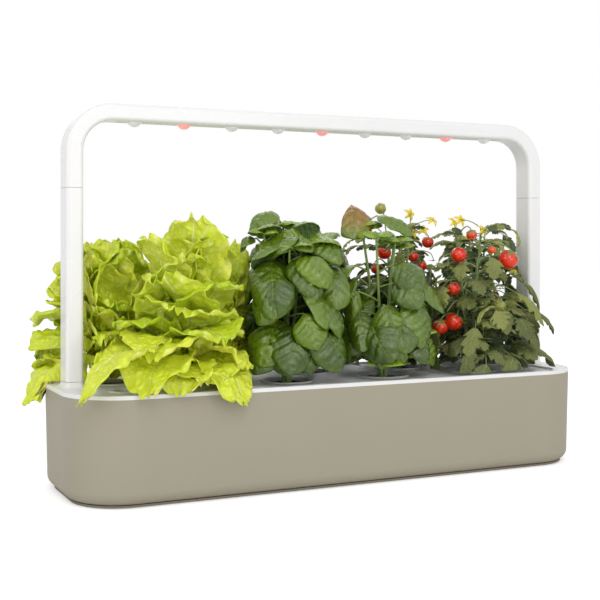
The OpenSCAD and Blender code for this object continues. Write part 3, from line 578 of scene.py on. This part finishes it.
def stem_paths(pod, size, rng, twist, leans, first, shares, lower, foot, curve):
    """The middle of a plant's foot, and the paths of its stems, from 0 at the plug to 1 at the top. The first
    stem and the others have those shares of the plant's height, and each leans out in a curve."""
    centre = Vector((PODS[pod].x, PODS[pod].y, PLUG_TOP - 2))
    paths = []
    for k in range(size.stems):
        out = math.radians(360 / size.stems * k + twist * pod) + rng.uniform(-0.2, 0.2)
        lean, tall = rng.uniform(*leans), size.height / MM * (rng.uniform(*shares) if k else first) - lower

        def path(t, out=out, lean=lean, tall=tall):
            away = foot + lean * t ** curve
            return centre + Vector((away * math.cos(out), away * math.sin(out), tall * t))
        paths.append(path)
    return centre, paths


def nearest(paths, place, below):
    """The point on the stems, at least that far below a place, that is nearest to it."""
    points = [path(k / 20) for path in paths for k in range(21)]
    lower = [p for p in points if p.z < place.z - below] or [paths[0](0)]
    return min(lower, key=lambda p: (p - place).length)


def grow_basil(pod, size):
    """Makes one basil: a few stems, and large leaves that hang over one another from the top down, like
    shingles."""
    bm, rng = new_plant_mesh(), random.Random(31 + pod)
    centre, paths = stem_paths(pod, size, rng, twist=25, leans=(12, 24), first=0.95, shares=(0.74, 0.92),
                               lower=0, foot=3, curve=1.3)
    runs = [[(path(t / 8), 2.3 - 1.1 * t / 8) for t in range(9)] for path in paths]
    tall = size.height / MM

    def hang(foot, turn, rise, droop, long, width, tint, blush, seed, roll):
        start_at = nearest(paths, foot, 5)
        runs.append([(start_at, 1.1), ((start_at + foot) / 2 + Vector((0, 0, 2)), 0.95), (foot, 0.8)])
        form = basil_surface(long, width, rise, droop, seed)
        lay_blade(bm, BASIL_GRID, turned(form, foot, turn, roll), pod, tint, blush)

    for n in range(size.leaves):
        f = n / (size.leaves - 1)
        turn = math.radians(GOLDEN_ANGLE * n + 30 * pod) + rng.uniform(-0.45, 0.45)
        wide = min(SPRAWL, free_reach(pod, turn, SPRAWL) + 2) * (0.86 + 0.14 * math.sin(math.pi * f))
        wide *= 1 - 0.5 * step(0.76, 1, f)
        wide *= rng.uniform(0.8, 1)
        long = size.leaf_length / MM * rng.uniform(0.68, 1.14) * (1 - 0.3 * step(0.85, 1, f))
        droop = math.radians(rng.uniform(70, 115))
        # Outer leaves hang with their tips down, and those at the top lie flatter
        rise = math.radians(-52 + 40 * step(0.55, 1, f) + rng.uniform(-24, 20)) + droop / 2
        out, drop = spine(long, rise, droop, 1)
        away = max(6, wide - out * rng.uniform(0.9, 1.15))
        up = max(24 + (tall - 36) * f ** 0.9, 16 - drop)
        foot = centre + Vector((away * math.cos(turn), away * math.sin(turn), up))
        reach = Vector((out * math.cos(turn), out * math.sin(turn), drop))
        if hides_fruit(foot + reach / 4, 16) or hides_fruit(foot + reach * 0.7, 16):
            continue
        width = long * rng.uniform(0.7, 0.84)
        tint = min(1, rng.uniform(0, 0.5) + 0.45 * f ** 3)
        hang(foot, turn, rise, droop, long, width, tint, 0, n * 1.7, rng.uniform(-0.6, 0.6))
    for n, (foot, turn, rise, droop, long, width, tint, blush) in enumerate(FRONT_LEAVES.get(pod, ())):
        angles = [math.radians(angle) for angle in (turn, rise, droop)]
        hang(Vector(foot), *angles, long, width, tint, blush, 90 + n, 0)
    tips = [path(1) for path in paths] + [Vector(p) for p in SHOOTS.get(pod, ())]
    for k, tip in enumerate(tips):
        if k >= len(paths):
            runs.append([(paths[0](0.05), 1.3), (paths[0](0.12) * 0.5 + tip * 0.5, 1.2), (tip, 1.0)])
        for side in range(6):
            turn = math.radians(90 * side + (45 if side > 3 else 0) + 20 * k)
            long = (rng.uniform(22, 30) if side < 4 else 13) * (1.15 if k >= len(paths) else 1)
            rise = math.radians(48 if side < 4 else 75)
            form = basil_surface(long, long * 0.8, rise, math.radians(85), 150 + k * 7 + side)
            lay_blade(bm, SHOOT_GRID, turned(form, tip, turn, rng.uniform(-0.2, 0.2)), pod, rng.uniform(0.8, 1))
    return bm, runs


# ---- tomato ----


def leaflet_surface(length, width, rise, droop, seed):
    """A tomato leaflet: a pointed blade with deep lobes that lean forward, folded a little along its middle."""
    def surface(t, u):
        base = max(0.04, math.sin(math.pi * t ** 0.66)) ** 0.75
        tooth = (3.6 * t + 0.17 * seed) % 1
        lobes = 1 - 0.66 * (1 - tooth ** 0.7) * (1 - 0.4 * t)
        half = width / 2 * base * (1 + (lobes - 1) * abs(u) ** 0.5)
        s = t + 0.16 * abs(u) * math.sin(math.pi * t)
        here = Vector((t * length, u * half, seed * 40))
        height = 0.2 * half * abs(u) - 0.42 * half * u * u + 1.2 * noise.noise(here / 7)
        height += 2.6 * u * noise.noise(here / 18)
        height -= 0.9 * math.exp(-(u / 0.14) ** 2)
        return raised(length, rise, droop, s, u * half, height)
    return surface


# Flowers as x, y and height above the table
FLOWERS = [[(131, 20, 270), (139, 10, 273), (133, 30, 292), (148, 4, 284), (84, 40, 279)],
           [(172, -20, 284), (160, -24, 281), (190, -40, 272)], [(286, 32, 224), (226, 46, 262)]]


def lay_star(bm, grid, whole, pod, tint, length, rise, droop, half, least, skew, power):
    """Lays the five narrow blades of a star: half is their half width, least the narrowest share of it, skew
    moves the widest place along them and power rounds their outline."""
    for side in range(5):
        place = whole @ Matrix.Rotation(FIFTH_TURN * side, 4, "Z")

        def surface(t, u, place=place):
            out, up = spine(length, rise, droop, t)
            return place @ Vector((out, u * half * max(least, math.sin(math.pi * t ** skew)) ** power, up))
        lay_blade(bm, grid, surface, pod, tint)


def compound_leaf(bm, runs, rng, pod, foot, turn, long, rise, droop, tint, seed):
    """One tomato leaf: a stalk with two pairs of leaflets and a larger one at its end."""
    place = Matrix.Translation(foot) @ Matrix.Rotation(turn, 4, "Z")
    stalk_points = []
    for k in range(6):
        x, z = spine(long, rise, droop, k / 5)
        stalk_points.append((keep_in_space(place @ Vector((x, 0, z)), pod), 1.1 - 0.14 * k))
    runs.append(stalk_points)
    for j, (at, side) in enumerate(((0.3, 1), (0.34, -1), (0.64, 1), (0.68, -1), (0.94, 0))):
        x, z = spine(long, rise, droop, at)
        a = rise - droop * at
        # The leaflet's own frame on the stalk: along it, across it and out of its upper face
        local = Matrix.Translation((x, 0, z)) @ Matrix.Rotation(-a, 4, "Y")
        local = local @ Matrix.Rotation(math.radians(60) * side + rng.uniform(-0.25, 0.25), 4, "Z")
        whole = place @ local @ Matrix.Rotation(rng.uniform(-0.4, 0.4), 4, "X")
        here = max(16, min(long * (0.6 if side == 0 else 0.36 + 0.14 * at) * rng.uniform(0.85, 1.15), 50))
        if hides_fruit(whole @ Vector((here * 0.55, 0, -here * 0.2)), 9):
            continue
        form = leaflet_surface(here, here * 0.74, 0.25, math.radians(rng.uniform(40, 90)), seed + 5 * j)
        lay_blade(bm, LEAFLET_GRID, lambda t, u, form=form, whole=whole: whole @ form(t, u), pod,
                  min(1, max(0, tint + rng.uniform(-0.15, 0.15))))


def grow_tomato(pod, size):
    """Makes one tomato plant: short stems with compound leaves, and old fruit stalks with a little green star
    at their ends.
    """
    bm, rng = new_plant_mesh(), random.Random(83 + pod)
    centre, paths = stem_paths(pod, size, rng, twist=50, leans=(10, 22), first=1.0, shares=(0.74, 0.96),
                               lower=18, foot=2, curve=1.4)
    runs = [[(path(t / 8), 2.6 - 1.5 * t / 8) for t in range(9)] for path in paths]
    for n in range(size.leaves):
        f = n / (size.leaves - 1)
        turn = math.radians(GOLDEN_ANGLE * n + 50 * pod) + rng.uniform(-0.3, 0.3)
        path = paths[n % len(paths)]
        foot = path(0.06 + 0.94 * f ** 0.9)
        way = Vector((math.cos(turn), math.sin(turn)))
        room = free_reach(pod, turn, SPRAWL) - (foot - centre).to_2d().dot(way)
        long = size.leaf_length / MM * rng.uniform(0.8, 1.1) * (1 - 0.5 * step(0.35, 0.9, f))
        long = min(long, max(32, room * 1.1))
        droop = math.radians(rng.uniform(70, 120) - 20 * f)
        rise = math.radians(rng.uniform(30, 60))
        compound_leaf(bm, runs, rng, pod, foot, turn, long, rise, droop, rng.uniform(0, 0.3) + 0.6 * f, n * 3)
    # Old fruit stalks: thin and curled, with a little green star at the end
    for k in range(size.trusses):
        turn, foot = rng.uniform(0, 6.28), paths[k % len(paths)](rng.uniform(0.4, 1))
        place = Matrix.Translation(foot) @ Matrix.Rotation(turn, 4, "Z")
        long, rise, droop = rng.uniform(24, 48), rng.uniform(0.3, 1.1), rng.uniform(1.4, 3.2)
        curl = []
        for j in range(7):
            x, z = spine(long, rise, droop, j / 6)
            curl.append((keep_in_space(place @ Vector((x, 3 * math.sin(j), z)), pod), 0.85 - 0.07 * j))
        runs.append(curl)
        lay_star(bm, (5, 2), Matrix.Translation(curl[-1][0]), pod, 0.8, length=8, rise=0.5, droop=0.9, half=1.3,
                 least=0.08, skew=0.6, power=1)
    return bm, runs, paths


def grow_fruit(index, stems, runs):
    """Makes the tomatoes of a plant, with their green calyxes in a second mesh and their stalks among the
    runs."""
    fruit, calyx = new_plant_mesh(), new_plant_mesh()
    tint = fruit.verts.layers.float["tint"]
    for n, (x, y, z, radius, ripe) in enumerate(FRUIT[index]):
        rng = random.Random(500 + 20 * index + n)
        tilt = Matrix.Rotation(rng.uniform(-0.5, 0.5), 4, "X") @ Matrix.Rotation(rng.uniform(-0.5, 0.5), 4, "Y")
        whole = Matrix.Translation((x, y, z)) @ tilt
        for v in bmesh.ops.create_uvsphere(fruit, u_segments=28, v_segments=18, radius=1)["verts"]:
            v[tint] = ripe
            off = math.hypot(v.co.x, v.co.y)
            dip = 0.2 * math.exp(-(off / 0.34) ** 2) if v.co.z > 0 else 0
            v.co = whole @ (Vector((v.co.x, v.co.y, 0.95 * v.co.z - dip)) * radius) * MM
        crown = whole @ Matrix.Translation((0, 0, radius * 0.78))
        lay_star(calyx, (6, 2), crown, None, 0.8, length=radius * 1.15, rise=0.35, droop=1.35,
                 half=radius * 0.17, least=0.06, skew=0.6, power=0.8)
        top = whole @ Vector((0, 0, radius * 0.76))
        hang = nearest(stems, top, -30)
        bend = (top + hang) / 2 + Vector((0, 0, 11))
        runs.append([(top, 0.8), (top + Vector((0, 0, 5)), 0.7), (bend, 0.8), (hang, 1.0)])
    for face in fruit.faces:
        face.smooth = True
    return fruit, calyx


def grow_flowers(index, stems, runs):
    """Makes the plant's yellow flowers: five narrow petals that bend back, round a little cone."""
    bm = new_plant_mesh()
    for n, place in enumerate(FLOWERS[index]):
        rng = random.Random(900 + 10 * index + n)
        centre = Vector(place)
        whole = Matrix.Translation(centre) @ Matrix.Rotation(rng.uniform(0.7, 1.4), 4, "X") @ Matrix.Rotation(
            rng.uniform(-0.5, 0.5), 4, "Y")
        lay_star(bm, (6, 2), whole, None, 0.5, length=10, rise=0.5, droop=1.6, half=2.0, least=0.05, skew=0.75,
                 power=0.8)
        cone = bmesh.ops.create_cone(bm, cap_ends=True, segments=8, radius1=1.3, radius2=0.4, depth=4.5)
        for v in cone["verts"]:
            v.co = (whole @ (v.co + Vector((0, 0, 2)))) * MM
        hang = nearest(stems, centre, 6)
        runs.append([(centre, 0.5), ((centre + hang) / 2 + Vector((0, 0, 6)), 0.6), (hang, 0.8)])
    return bm


# ---- what a user can change ----


def colour_choice(name, description, code):
    """A colour that a user can set."""
    return bpy.props.FloatVectorProperty(
        name=name, description=description, subtype="COLOR", size=4, min=0, max=1, default=linear(code))


def length_choice(name, description, millimetres):
    """A length that a user can set."""
    return bpy.props.FloatProperty(
        name=name, description=description, default=millimetres * MM, unit="LENGTH", subtype="DISTANCE")


def count_choice(name, description, number, least, most):
    """A number of pieces that a user can set."""
    return bpy.props.IntProperty(name=name, description=description, default=number, min=least, max=most)


class GardenPlastics(bpy.types.PropertyGroup):
    """Colours of the moulded pieces."""
    shell: colour_choice("Shell", "Colour of the outer shell", "#A49D8B")
    white: colour_choice("White", "Colour of the tank's rim, the arms and the lamp", "#EFEEEE")
    lid: colour_choice("Lid", "Colour of the lid over the tank", "#E9E9E8")


class GardenLettuce(bpy.types.PropertyGroup):
    """Sizes of the lettuces."""
    height: length_choice("Height", "Height above the pod", 176)
    leaf_width: length_choice("Leaf width", "Width of an outer leaf", 92)
    frill: length_choice("Frill", "How far the edge of a leaf waves up and down", 6.5)
    leaves: count_choice("Leaves", "Leaves on each lettuce", 28, 8, 34)


class GardenBasil(bpy.types.PropertyGroup):
    """Sizes of the basils."""
    height: length_choice("Height", "Height above the pod", 180)
    leaf_length: length_choice("Leaf length", "Length of a full-grown leaf", 60)
    stems: count_choice("Stems", "Stems on each plant", 4, 1, 6)
    leaves: count_choice("Leaves", "Large leaves on each plant", 50, 6, 80)


class GardenTomato(bpy.types.PropertyGroup):
    """Sizes of the tomato plants."""
    height: length_choice("Height", "Height above the pod", 188)
    leaf_length: length_choice("Leaf length", "Length of a compound leaf", 80)
    stems: count_choice("Stems", "Stems on each plant", 4, 1, 5)
    leaves: count_choice("Leaves", "Compound leaves on each plant", 56, 6, 70)
    trusses: count_choice("Old stalks", "Thin curled stalks that have lost their fruit", 12, 0, 30)


class GardenStudio(bpy.types.PropertyGroup):
    """The studio round the garden."""
    lens: bpy.props.FloatProperty(
        name="Lens", description="Focal length in millimetres", default=66.505, min=20, max=200)
    key: bpy.props.FloatProperty(
        name="Key light", description="Power of the large light above, in watts", default=15.6, min=0, max=500)
    ambient: bpy.props.FloatProperty(
        name="Ambient", description="Strength of the light from all sides", default=0.65, min=0, max=2)


# ---- operators ----


class GARDEN_OT_base(bpy.types.Operator):
    """Finish the base: shell, plinth, feet, screws, tank and the low-voltage inlet"""
    bl_idname = "garden.base"
    bl_label = "Base"

    def execute(self, context):
        plastics = context.scene.garden_plastics
        # ABS moulded in a spark-eroded tool: matt, with a fine grain that breaks up reflections
        dress("outer_shell", moulded("matt_moulded_abs", plastics.shell, 0.5, 1.1, 0.05))
        # The same ABS, darker, because the plate sits back in the shadow of the shell
        dress("base_plate", moulded("dark_moulded_abs", linear("#7F7868"), 0.55, 1.1, 0.05))
        # Nitrile rubber pressed flat: dull and dark, it takes up light
        dress("rubber_feet", moulded("nitrile_rubber", linear("#383836"), 0.8, 0.8, 0.08))
        # ABS moulded in a polished tool and lightly blasted: white with a satin sheen
        dress("water_tank", moulded("satin_white_abs", plastics.white, 0.3, 1.6, 0.02, Coat_Weight=0.15))
        # Glass-filled nylon: black with a dry, slightly fibrous face
        nylon = moulded("black_nylon", linear("#1E1E1F"), 0.48, 0.7, 0.06)
        for node in ("dc_inlet", "base_contact_block"):
            dress(node, nylon)
        # PVC cable sheath: black with a soft shine
        dress("power_harness", moulded("pvc_sheath", linear("#171718"), 0.38, 1.5, 0.03))
        steel = zinc_plated_steel()
        for node in ("base_screws", "dc_inlet_nut"):
            dress(node, steel)
        return {"FINISHED"}


class GARDEN_OT_lamp(bpy.types.Operator):
    """Finish the extension arms and the grow lamp with its boards, wires and lights"""
    bl_idname = "garden.lamp"
    bl_label = "Lamp"

    def execute(self, context):
        plastics = context.scene.garden_plastics
        # ABS tube, moulded and finely polished: a soft band of light runs along each leg
        tube = moulded("polished_white_abs", plastics.white, 0.26, 2.0, 0.015, Coat_Weight=0.2)
        for node in ("lamp_frame", "left_extension_arm", "right_extension_arm"):
            dress(node, tube)
        # Polycarbonate with a milky filler: it closes the bar and is a little greyer than the frame. The
        # yellow-green tint in its colour is painted light, bounced up from the leaves below
        dress("light_cover", moulded("milky_polycarbonate", linear("#E4E6D6"), 0.4, 1.2, 0.03))
        dress("led_board", circuit_board("white_circuit_board", "#E8EBE6", "#CFD3CC"))
        dress("driver_board", circuit_board("green_circuit_board", "#24603C", "#3F7E57"))
        dress("led_chips", led_phosphor())
        dress("white_lenses", diffusing_polycarbonate("clear_polycarbonate_lens", "#F0F1F2", "#FFFFFF", 0.12))
        dress("red_lenses", diffusing_polycarbonate("lit_red_polycarbonate_lens", "#F9C4C2", "#FFA6A4", 0.26))
        nylon = moulded("black_nylon_contacts", linear("#1E1E1F"), 0.48, 0.7, 0.06)
        for node in ("arm_contacts", "lamp_contact"):
            dress(node, nylon)
        # PVC insulation, red, with a soft shine
        wire = moulded("red_pvc_insulation", linear("#A01C1C"), 0.35, 1.0, 0.03)
        for node in ("arm_wires", "lamp_wires"):
            dress(node, wire)
        dress("led_board_screws", zinc_plated_steel())
        return {"FINISHED"}


class GARDEN_OT_bed(bpy.types.Operator):
    """Finish the lid, the pod cups and the float, and make the crumbly plug in each cup"""
    bl_idname = "garden.bed"
    bl_label = "Bed"

    def execute(self, context):
        plastics = context.scene.garden_plastics
        # The lid is ABS as well, blasted a little more than the tank, so it looks flatter; its colour is set a
        # slightly greyer white than the tank's
        lid = moulded("blasted_white_abs", plastics.lid, 0.42, 1.3, 0.04)
        dress("lid", lid)
        dress("float_guide", lid)
        # Polypropylene cups: white, waxy, with a broad soft highlight
        cup = moulded("white_polypropylene", linear("#ECECEA"), 0.46, 1.8, 0.03, Subsurface_Weight=0.05)
        # Foamed polyethylene: pale grey with an orange-peel skin
        dress("water_float", moulded("foamed_polyethylene", linear("#D6DADA"), 0.6, 2.4, 0.12))
        peat = peat_plug()
        for n in range(1, 10):
            dress("pod_cup_%d" % n, cup)
            low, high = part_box("growing_plug_%d" % n)
            self.plug(n, low, high, peat)
        return {"FINISHED"}

    def plug(self, n, low, high, peat):
        """A pressed plug with a crumbly top, spun from its profile"""
        bm = bmesh.new()
        middle_at, top, foot = (low + high) / 2, high.z, low.z
        radius = (high.x - low.x) / 2
        profile = [(0, foot), (radius * 0.56, foot), (radius * 0.6, foot + 2 * MM),
                   (radius * 0.985, top - 2.5 * MM), (radius * 0.93, top - 0.6 * MM),
                   (radius * 0.7, top - 0.3 * MM), (radius * 0.45, top - 0.5 * MM),
                   (radius * 0.2, top - 0.8 * MM), (0, top - 1.0 * MM)]
        verts = [bm.verts.new((r, 0, z)) for r, z in profile]
        edges = [bm.edges.new(pair) for pair in zip(verts, verts[1:])]
        bmesh.ops.spin(bm, geom=verts + edges, cent=(0, 0, 0), axis=(0, 0, 1), angle=2 * math.pi, steps=44,
                       use_merge=True)
        bmesh.ops.remove_doubles(bm, verts=bm.verts, dist=0.02 * MM)
        bmesh.ops.recalc_face_normals(bm, faces=bm.faces)
        for v in bm.verts:
            rough = noise.noise(Vector((v.co.x, v.co.y, n)) / (4 * MM))
            if v.co.z > top - 2 * MM and math.hypot(v.co.x, v.co.y) < radius * 0.95:
                v.co.z = min(top, v.co.z + 0.9 * MM * rough)
            v.co += Vector((middle_at.x, middle_at.y, 0))
        for face in bm.faces:
            face.smooth = True
        made = object_of("peat_plug_%d" % n, bm, peat)
        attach(made, "pod_%d" % n)
        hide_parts("growing_plug_%d" % n)


class GARDEN_OT_lettuce(bpy.types.Operator):
    """Grow the three lettuces"""
    bl_idname = "garden.lettuce"
    bl_label = "Lettuce"

    def execute(self, context):
        size = context.scene.garden_lettuce
        # Loose-leaf lettuce: thin, crisp and blistered, so it glows yellow-green where light comes through
        upper = leaf("lettuce_upper_side", "#BEDA10", "#F4FA4A", "#F2F8A0", veins=6, slant=1.1, cell=7,
                     pucker=1.0, rib_width=0.08, vein_strength=0.2, Roughness=0.4, Subsurface_Weight=0.9,
                     Subsurface_Scale=0.36 * MM, Subsurface_Radius=(0.9, 1.0, 0.2))
        under = leaf("lettuce_under_side", "#CCE222", "#F8FA66", "#F8FBB8", veins=6, slant=1.1, cell=7,
                     pucker=0.8, rib_width=0.12, vein_strength=0.35, Roughness=0.5, Subsurface_Weight=0.9,
                     Subsurface_Scale=0.36 * MM, Subsurface_Radius=(0.9, 1.0, 0.2))
        for pod in range(3):
            name = "lettuce_leaves_%d" % (pod + 1)
            made = finish_plant(name, grow_lettuce(pod, size), [upper, under], pod)
            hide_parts("lettuce_%d" % (pod + 1))
        return {"FINISHED"}


class GARDEN_OT_basil(bpy.types.Operator):
    """Grow the three basils"""
    bl_idname = "garden.basil"
    bl_label = "Basil"

    def execute(self, context):
        size = context.scene.garden_basil
        # Basil leaf: fleshy, puckered and glossy, dark green with paler veins, dull and paler below
        upper = leaf("basil_upper_side", "#324E08", "#8CAC22", "#90A848", veins=5.5, slant=1.4, cell=6,
                     pucker=0.6, rib_width=0.04, vein_strength=0.08, blush="#B0602A", Roughness=0.34,
                     Coat_Weight=0.45, Coat_Roughness=0.2)
        under = leaf("basil_under_side", "#5D7E3C", "#86A760", "#B4CB92", veins=7, slant=1.3, cell=5,
                     pucker=0.6, rib_width=0.1, vein_strength=0.6, Roughness=0.6)
        green = stalk("basil_stem", "#7E9A48", "#A3BA6C", Roughness=0.45)
        for pod in range(3, 6):
            n = pod - 2
            bm, runs = grow_basil(pod, size)
            made = finish_plant("basil_leaves_%d" % n, bm, [upper, under], pod, 0.5)
            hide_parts("basil_%d" % n)
            tubes("basil_stems_%d" % n, runs, green, pod)
        return {"FINISHED"}


class GARDEN_OT_tomato(bpy.types.Operator):
    """Grow the three tomato plants with their fruit and flowers"""
    bl_idname = "garden.tomato"
    bl_label = "Tomato"

    def execute(self, context):
        size = context.scene.garden_tomato
        # Tomato leaf: soft and hairy, so matt and greyish, dark green above and pale below
        upper = leaf("tomato_upper_side", "#3C4A1E", "#A8AE58", "#AEB476", veins=5, slant=1.2, cell=4,
                     pucker=0.6, rib_width=0.05, vein_strength=0.15, Roughness=0.62)
        under = leaf("tomato_under_side", "#5F7650", "#7F966B", "#A5B68E", veins=5, slant=1.2, cell=4,
                     pucker=0.4, rib_width=0.12, vein_strength=0.5, Roughness=0.75, Sheen_Weight=0.2)
        green = stalk("tomato_stem", "#6E8646", "#9DB070", Roughness=0.6, Sheen_Weight=0.3)
        skin, yellow = tomato_skin(), petal()
        for pod in range(6, 9):
            index, n = pod - 6, pod - 5
            bm, runs, stems = grow_tomato(pod, size)
            fruit, calyx = grow_fruit(index, stems, runs)
            flowers = grow_flowers(index, stems, runs)
            made = finish_plant("tomato_leaves_%d" % n, bm, [upper, under], pod, 0.4)
            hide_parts("tomato_%d" % n)
            finish_plant("tomato_fruit_%d" % n, fruit, [skin], pod, 0)
            finish_plant("tomato_calyxes_%d" % n, calyx, [upper, under], pod, 0.4)
            finish_plant("tomato_flowers_%d" % n, flowers, [yellow], pod, 0.3)
            tubes("tomato_stems_%d" % n, runs, green, pod)
        return {"FINISHED"}


class GARDEN_OT_studio(bpy.types.Operator):
    """Set up the camera, the white floor, the lights and the world"""
    bl_idname = "garden.studio"
    bl_label = "Studio"

    def execute(self, context):
        scene, studio = context.scene, context.scene.garden_studio
        camera = bpy.data.objects.new("camera", bpy.data.cameras.new("camera"))
        # Where the photograph was taken from, fitted to the base, the lamp and the pod rings
        camera.location = (-0.55701, -1.118762, 0.252821)
        camera.rotation_euler = (math.pi / 2, 0, -0.442)
        camera.data.lens, camera.data.shift_y = studio.lens, -0.0893
        scene.collection.objects.link(camera)
        scene.camera = camera

        bm = bmesh.new()
        bmesh.ops.create_grid(bm, x_segments=2, y_segments=2, size=6)
        object_of("floor", bm, self.paper())

        # Soft boxes: where each stands, what it faces, how wide it is and its power
        for name, place, aim, size, power in (
                ("key", (-0.5, -1.9, 1.8), (0, 0, 0.15), 1.5, studio.key),
                ("fill", (-2.0, -0.9, 0.8), (0, 0, 0.2), 1.4, studio.key * 0.34),
                ("low", (0.3, -2.2, 0.3), (0, 0, 0.12), 1.2, studio.key * 0.48),
                ("back", (0.3, 1.9, 1.7), (0, 0, 0.2), 1.6, studio.key * 0.45)):
            lamp = bpy.data.lights.new(name, "AREA")
            lamp.energy, lamp.size = power, size
            made = bpy.data.objects.new(name, lamp)
            made.location = place
            made.rotation_euler = (Vector(aim) - Vector(place)).to_track_quat("-Z", "Y").to_euler()
            scene.collection.objects.link(made)
        scene.world = self.air(studio.ambient)
        scene.view_settings.view_transform = "Standard"
        return {"FINISHED"}

    def paper(self):
        """White photographic paper: it keeps the soft shadow, and is a little brighter for the camera alone"""
        made, tree, shader, place = start("white_paper", Roughness=0.9, Specular_IOR_Level=0.0)
        fibre = add(tree, "TexNoise", {"Vector": place, "Scale": 40.0})
        shade = add(tree, "Mix", {0: fibre, 6: "#F4F4F4", 7: "#F8F8F8"}, data_type="RGBA")
        ray = add(tree, "LightPath")
        lift = add(tree, "Math", {0: ray.outputs["Is Camera Ray"], 1: 0.42}, operation="MULTIPLY")
        feed(shader, {"Base Color": shade, "Emission Color": (1, 1, 1, 1), "Emission Strength": lift})
        return made

    def air(self, ambient):
        """A world that looks white to the camera and in gloss and glass, and lights everything evenly"""
        world = bpy.data.worlds.new("studio")
        world.use_nodes = True
        tree = world.node_tree
        ray = add(tree, "LightPath")
        seen = add(tree, "Math", {
            0: ray.outputs["Is Camera Ray"], 1: ray.outputs["Is Glossy Ray"]}, operation="MAXIMUM")
        seen = add(tree, "Math", {0: seen, 1: ray.outputs["Is Transmission Ray"]}, operation="MAXIMUM")
        strength = add(tree, "MapRange", {"Value": seen, "To Min": ambient, "To Max": 1.0})
        feed(tree.nodes["Background"], {"Color": (1, 1, 1, 1), "Strength": strength})
        return world


class GARDEN_PT_panel(bpy.types.Panel):
    """The garden's pieces and what can be changed about them"""
    bl_label = "Hydroponic garden"
    bl_idname = "GARDEN_PT_panel"
    bl_space_type = "VIEW_3D"
    bl_region_type = "UI"
    bl_category = "Garden"

    def draw(self, context):
        scene = context.scene
        for title, group, operators in SECTIONS:
            box = self.layout.box()
            box.label(text=title)
            settings = getattr(scene, group)
            for name in type(settings).__annotations__:
                box.prop(settings, name)
            for operator in operators:
                box.operator(operator)


SECTIONS = (
    ("Plastics", "garden_plastics", ("garden.base", "garden.lamp", "garden.bed")),
    ("Lettuce", "garden_lettuce", ("garden.lettuce",)),
    ("Basil", "garden_basil", ("garden.basil",)),
    ("Tomato", "garden_tomato", ("garden.tomato",)),
    ("Studio", "garden_studio", ("garden.studio",)))
GROUPS = {"garden_plastics": GardenPlastics, "garden_lettuce": GardenLettuce, "garden_basil": GardenBasil,
          "garden_tomato": GardenTomato, "garden_studio": GardenStudio}
CLASSES = (*GROUPS.values(), GARDEN_OT_base, GARDEN_OT_lamp, GARDEN_OT_bed, GARDEN_OT_lettuce, GARDEN_OT_basil,
           GARDEN_OT_tomato, GARDEN_OT_studio, GARDEN_PT_panel)


def register():
    """Registers the classes and hangs the settings on the scene."""
    for cls in CLASSES:
        bpy.utils.register_class(cls)
    for name, group in GROUPS.items():
        setattr(bpy.types.Scene, name, bpy.props.PointerProperty(type=group))


def unregister():
    """Takes the settings and the classes away again."""
    for name in GROUPS:
        delattr(bpy.types.Scene, name)
    for cls in reversed(CLASSES):
        bpy.utils.unregister_class(cls)


def main():
    """Runs every operator in order."""
    register()
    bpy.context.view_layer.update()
    for _, _, operators in SECTIONS:
        for operator in operators:
            group, name = operator.split(".")
            getattr(getattr(bpy.ops, group), name)()


if __name__ == "__main__":
    main()
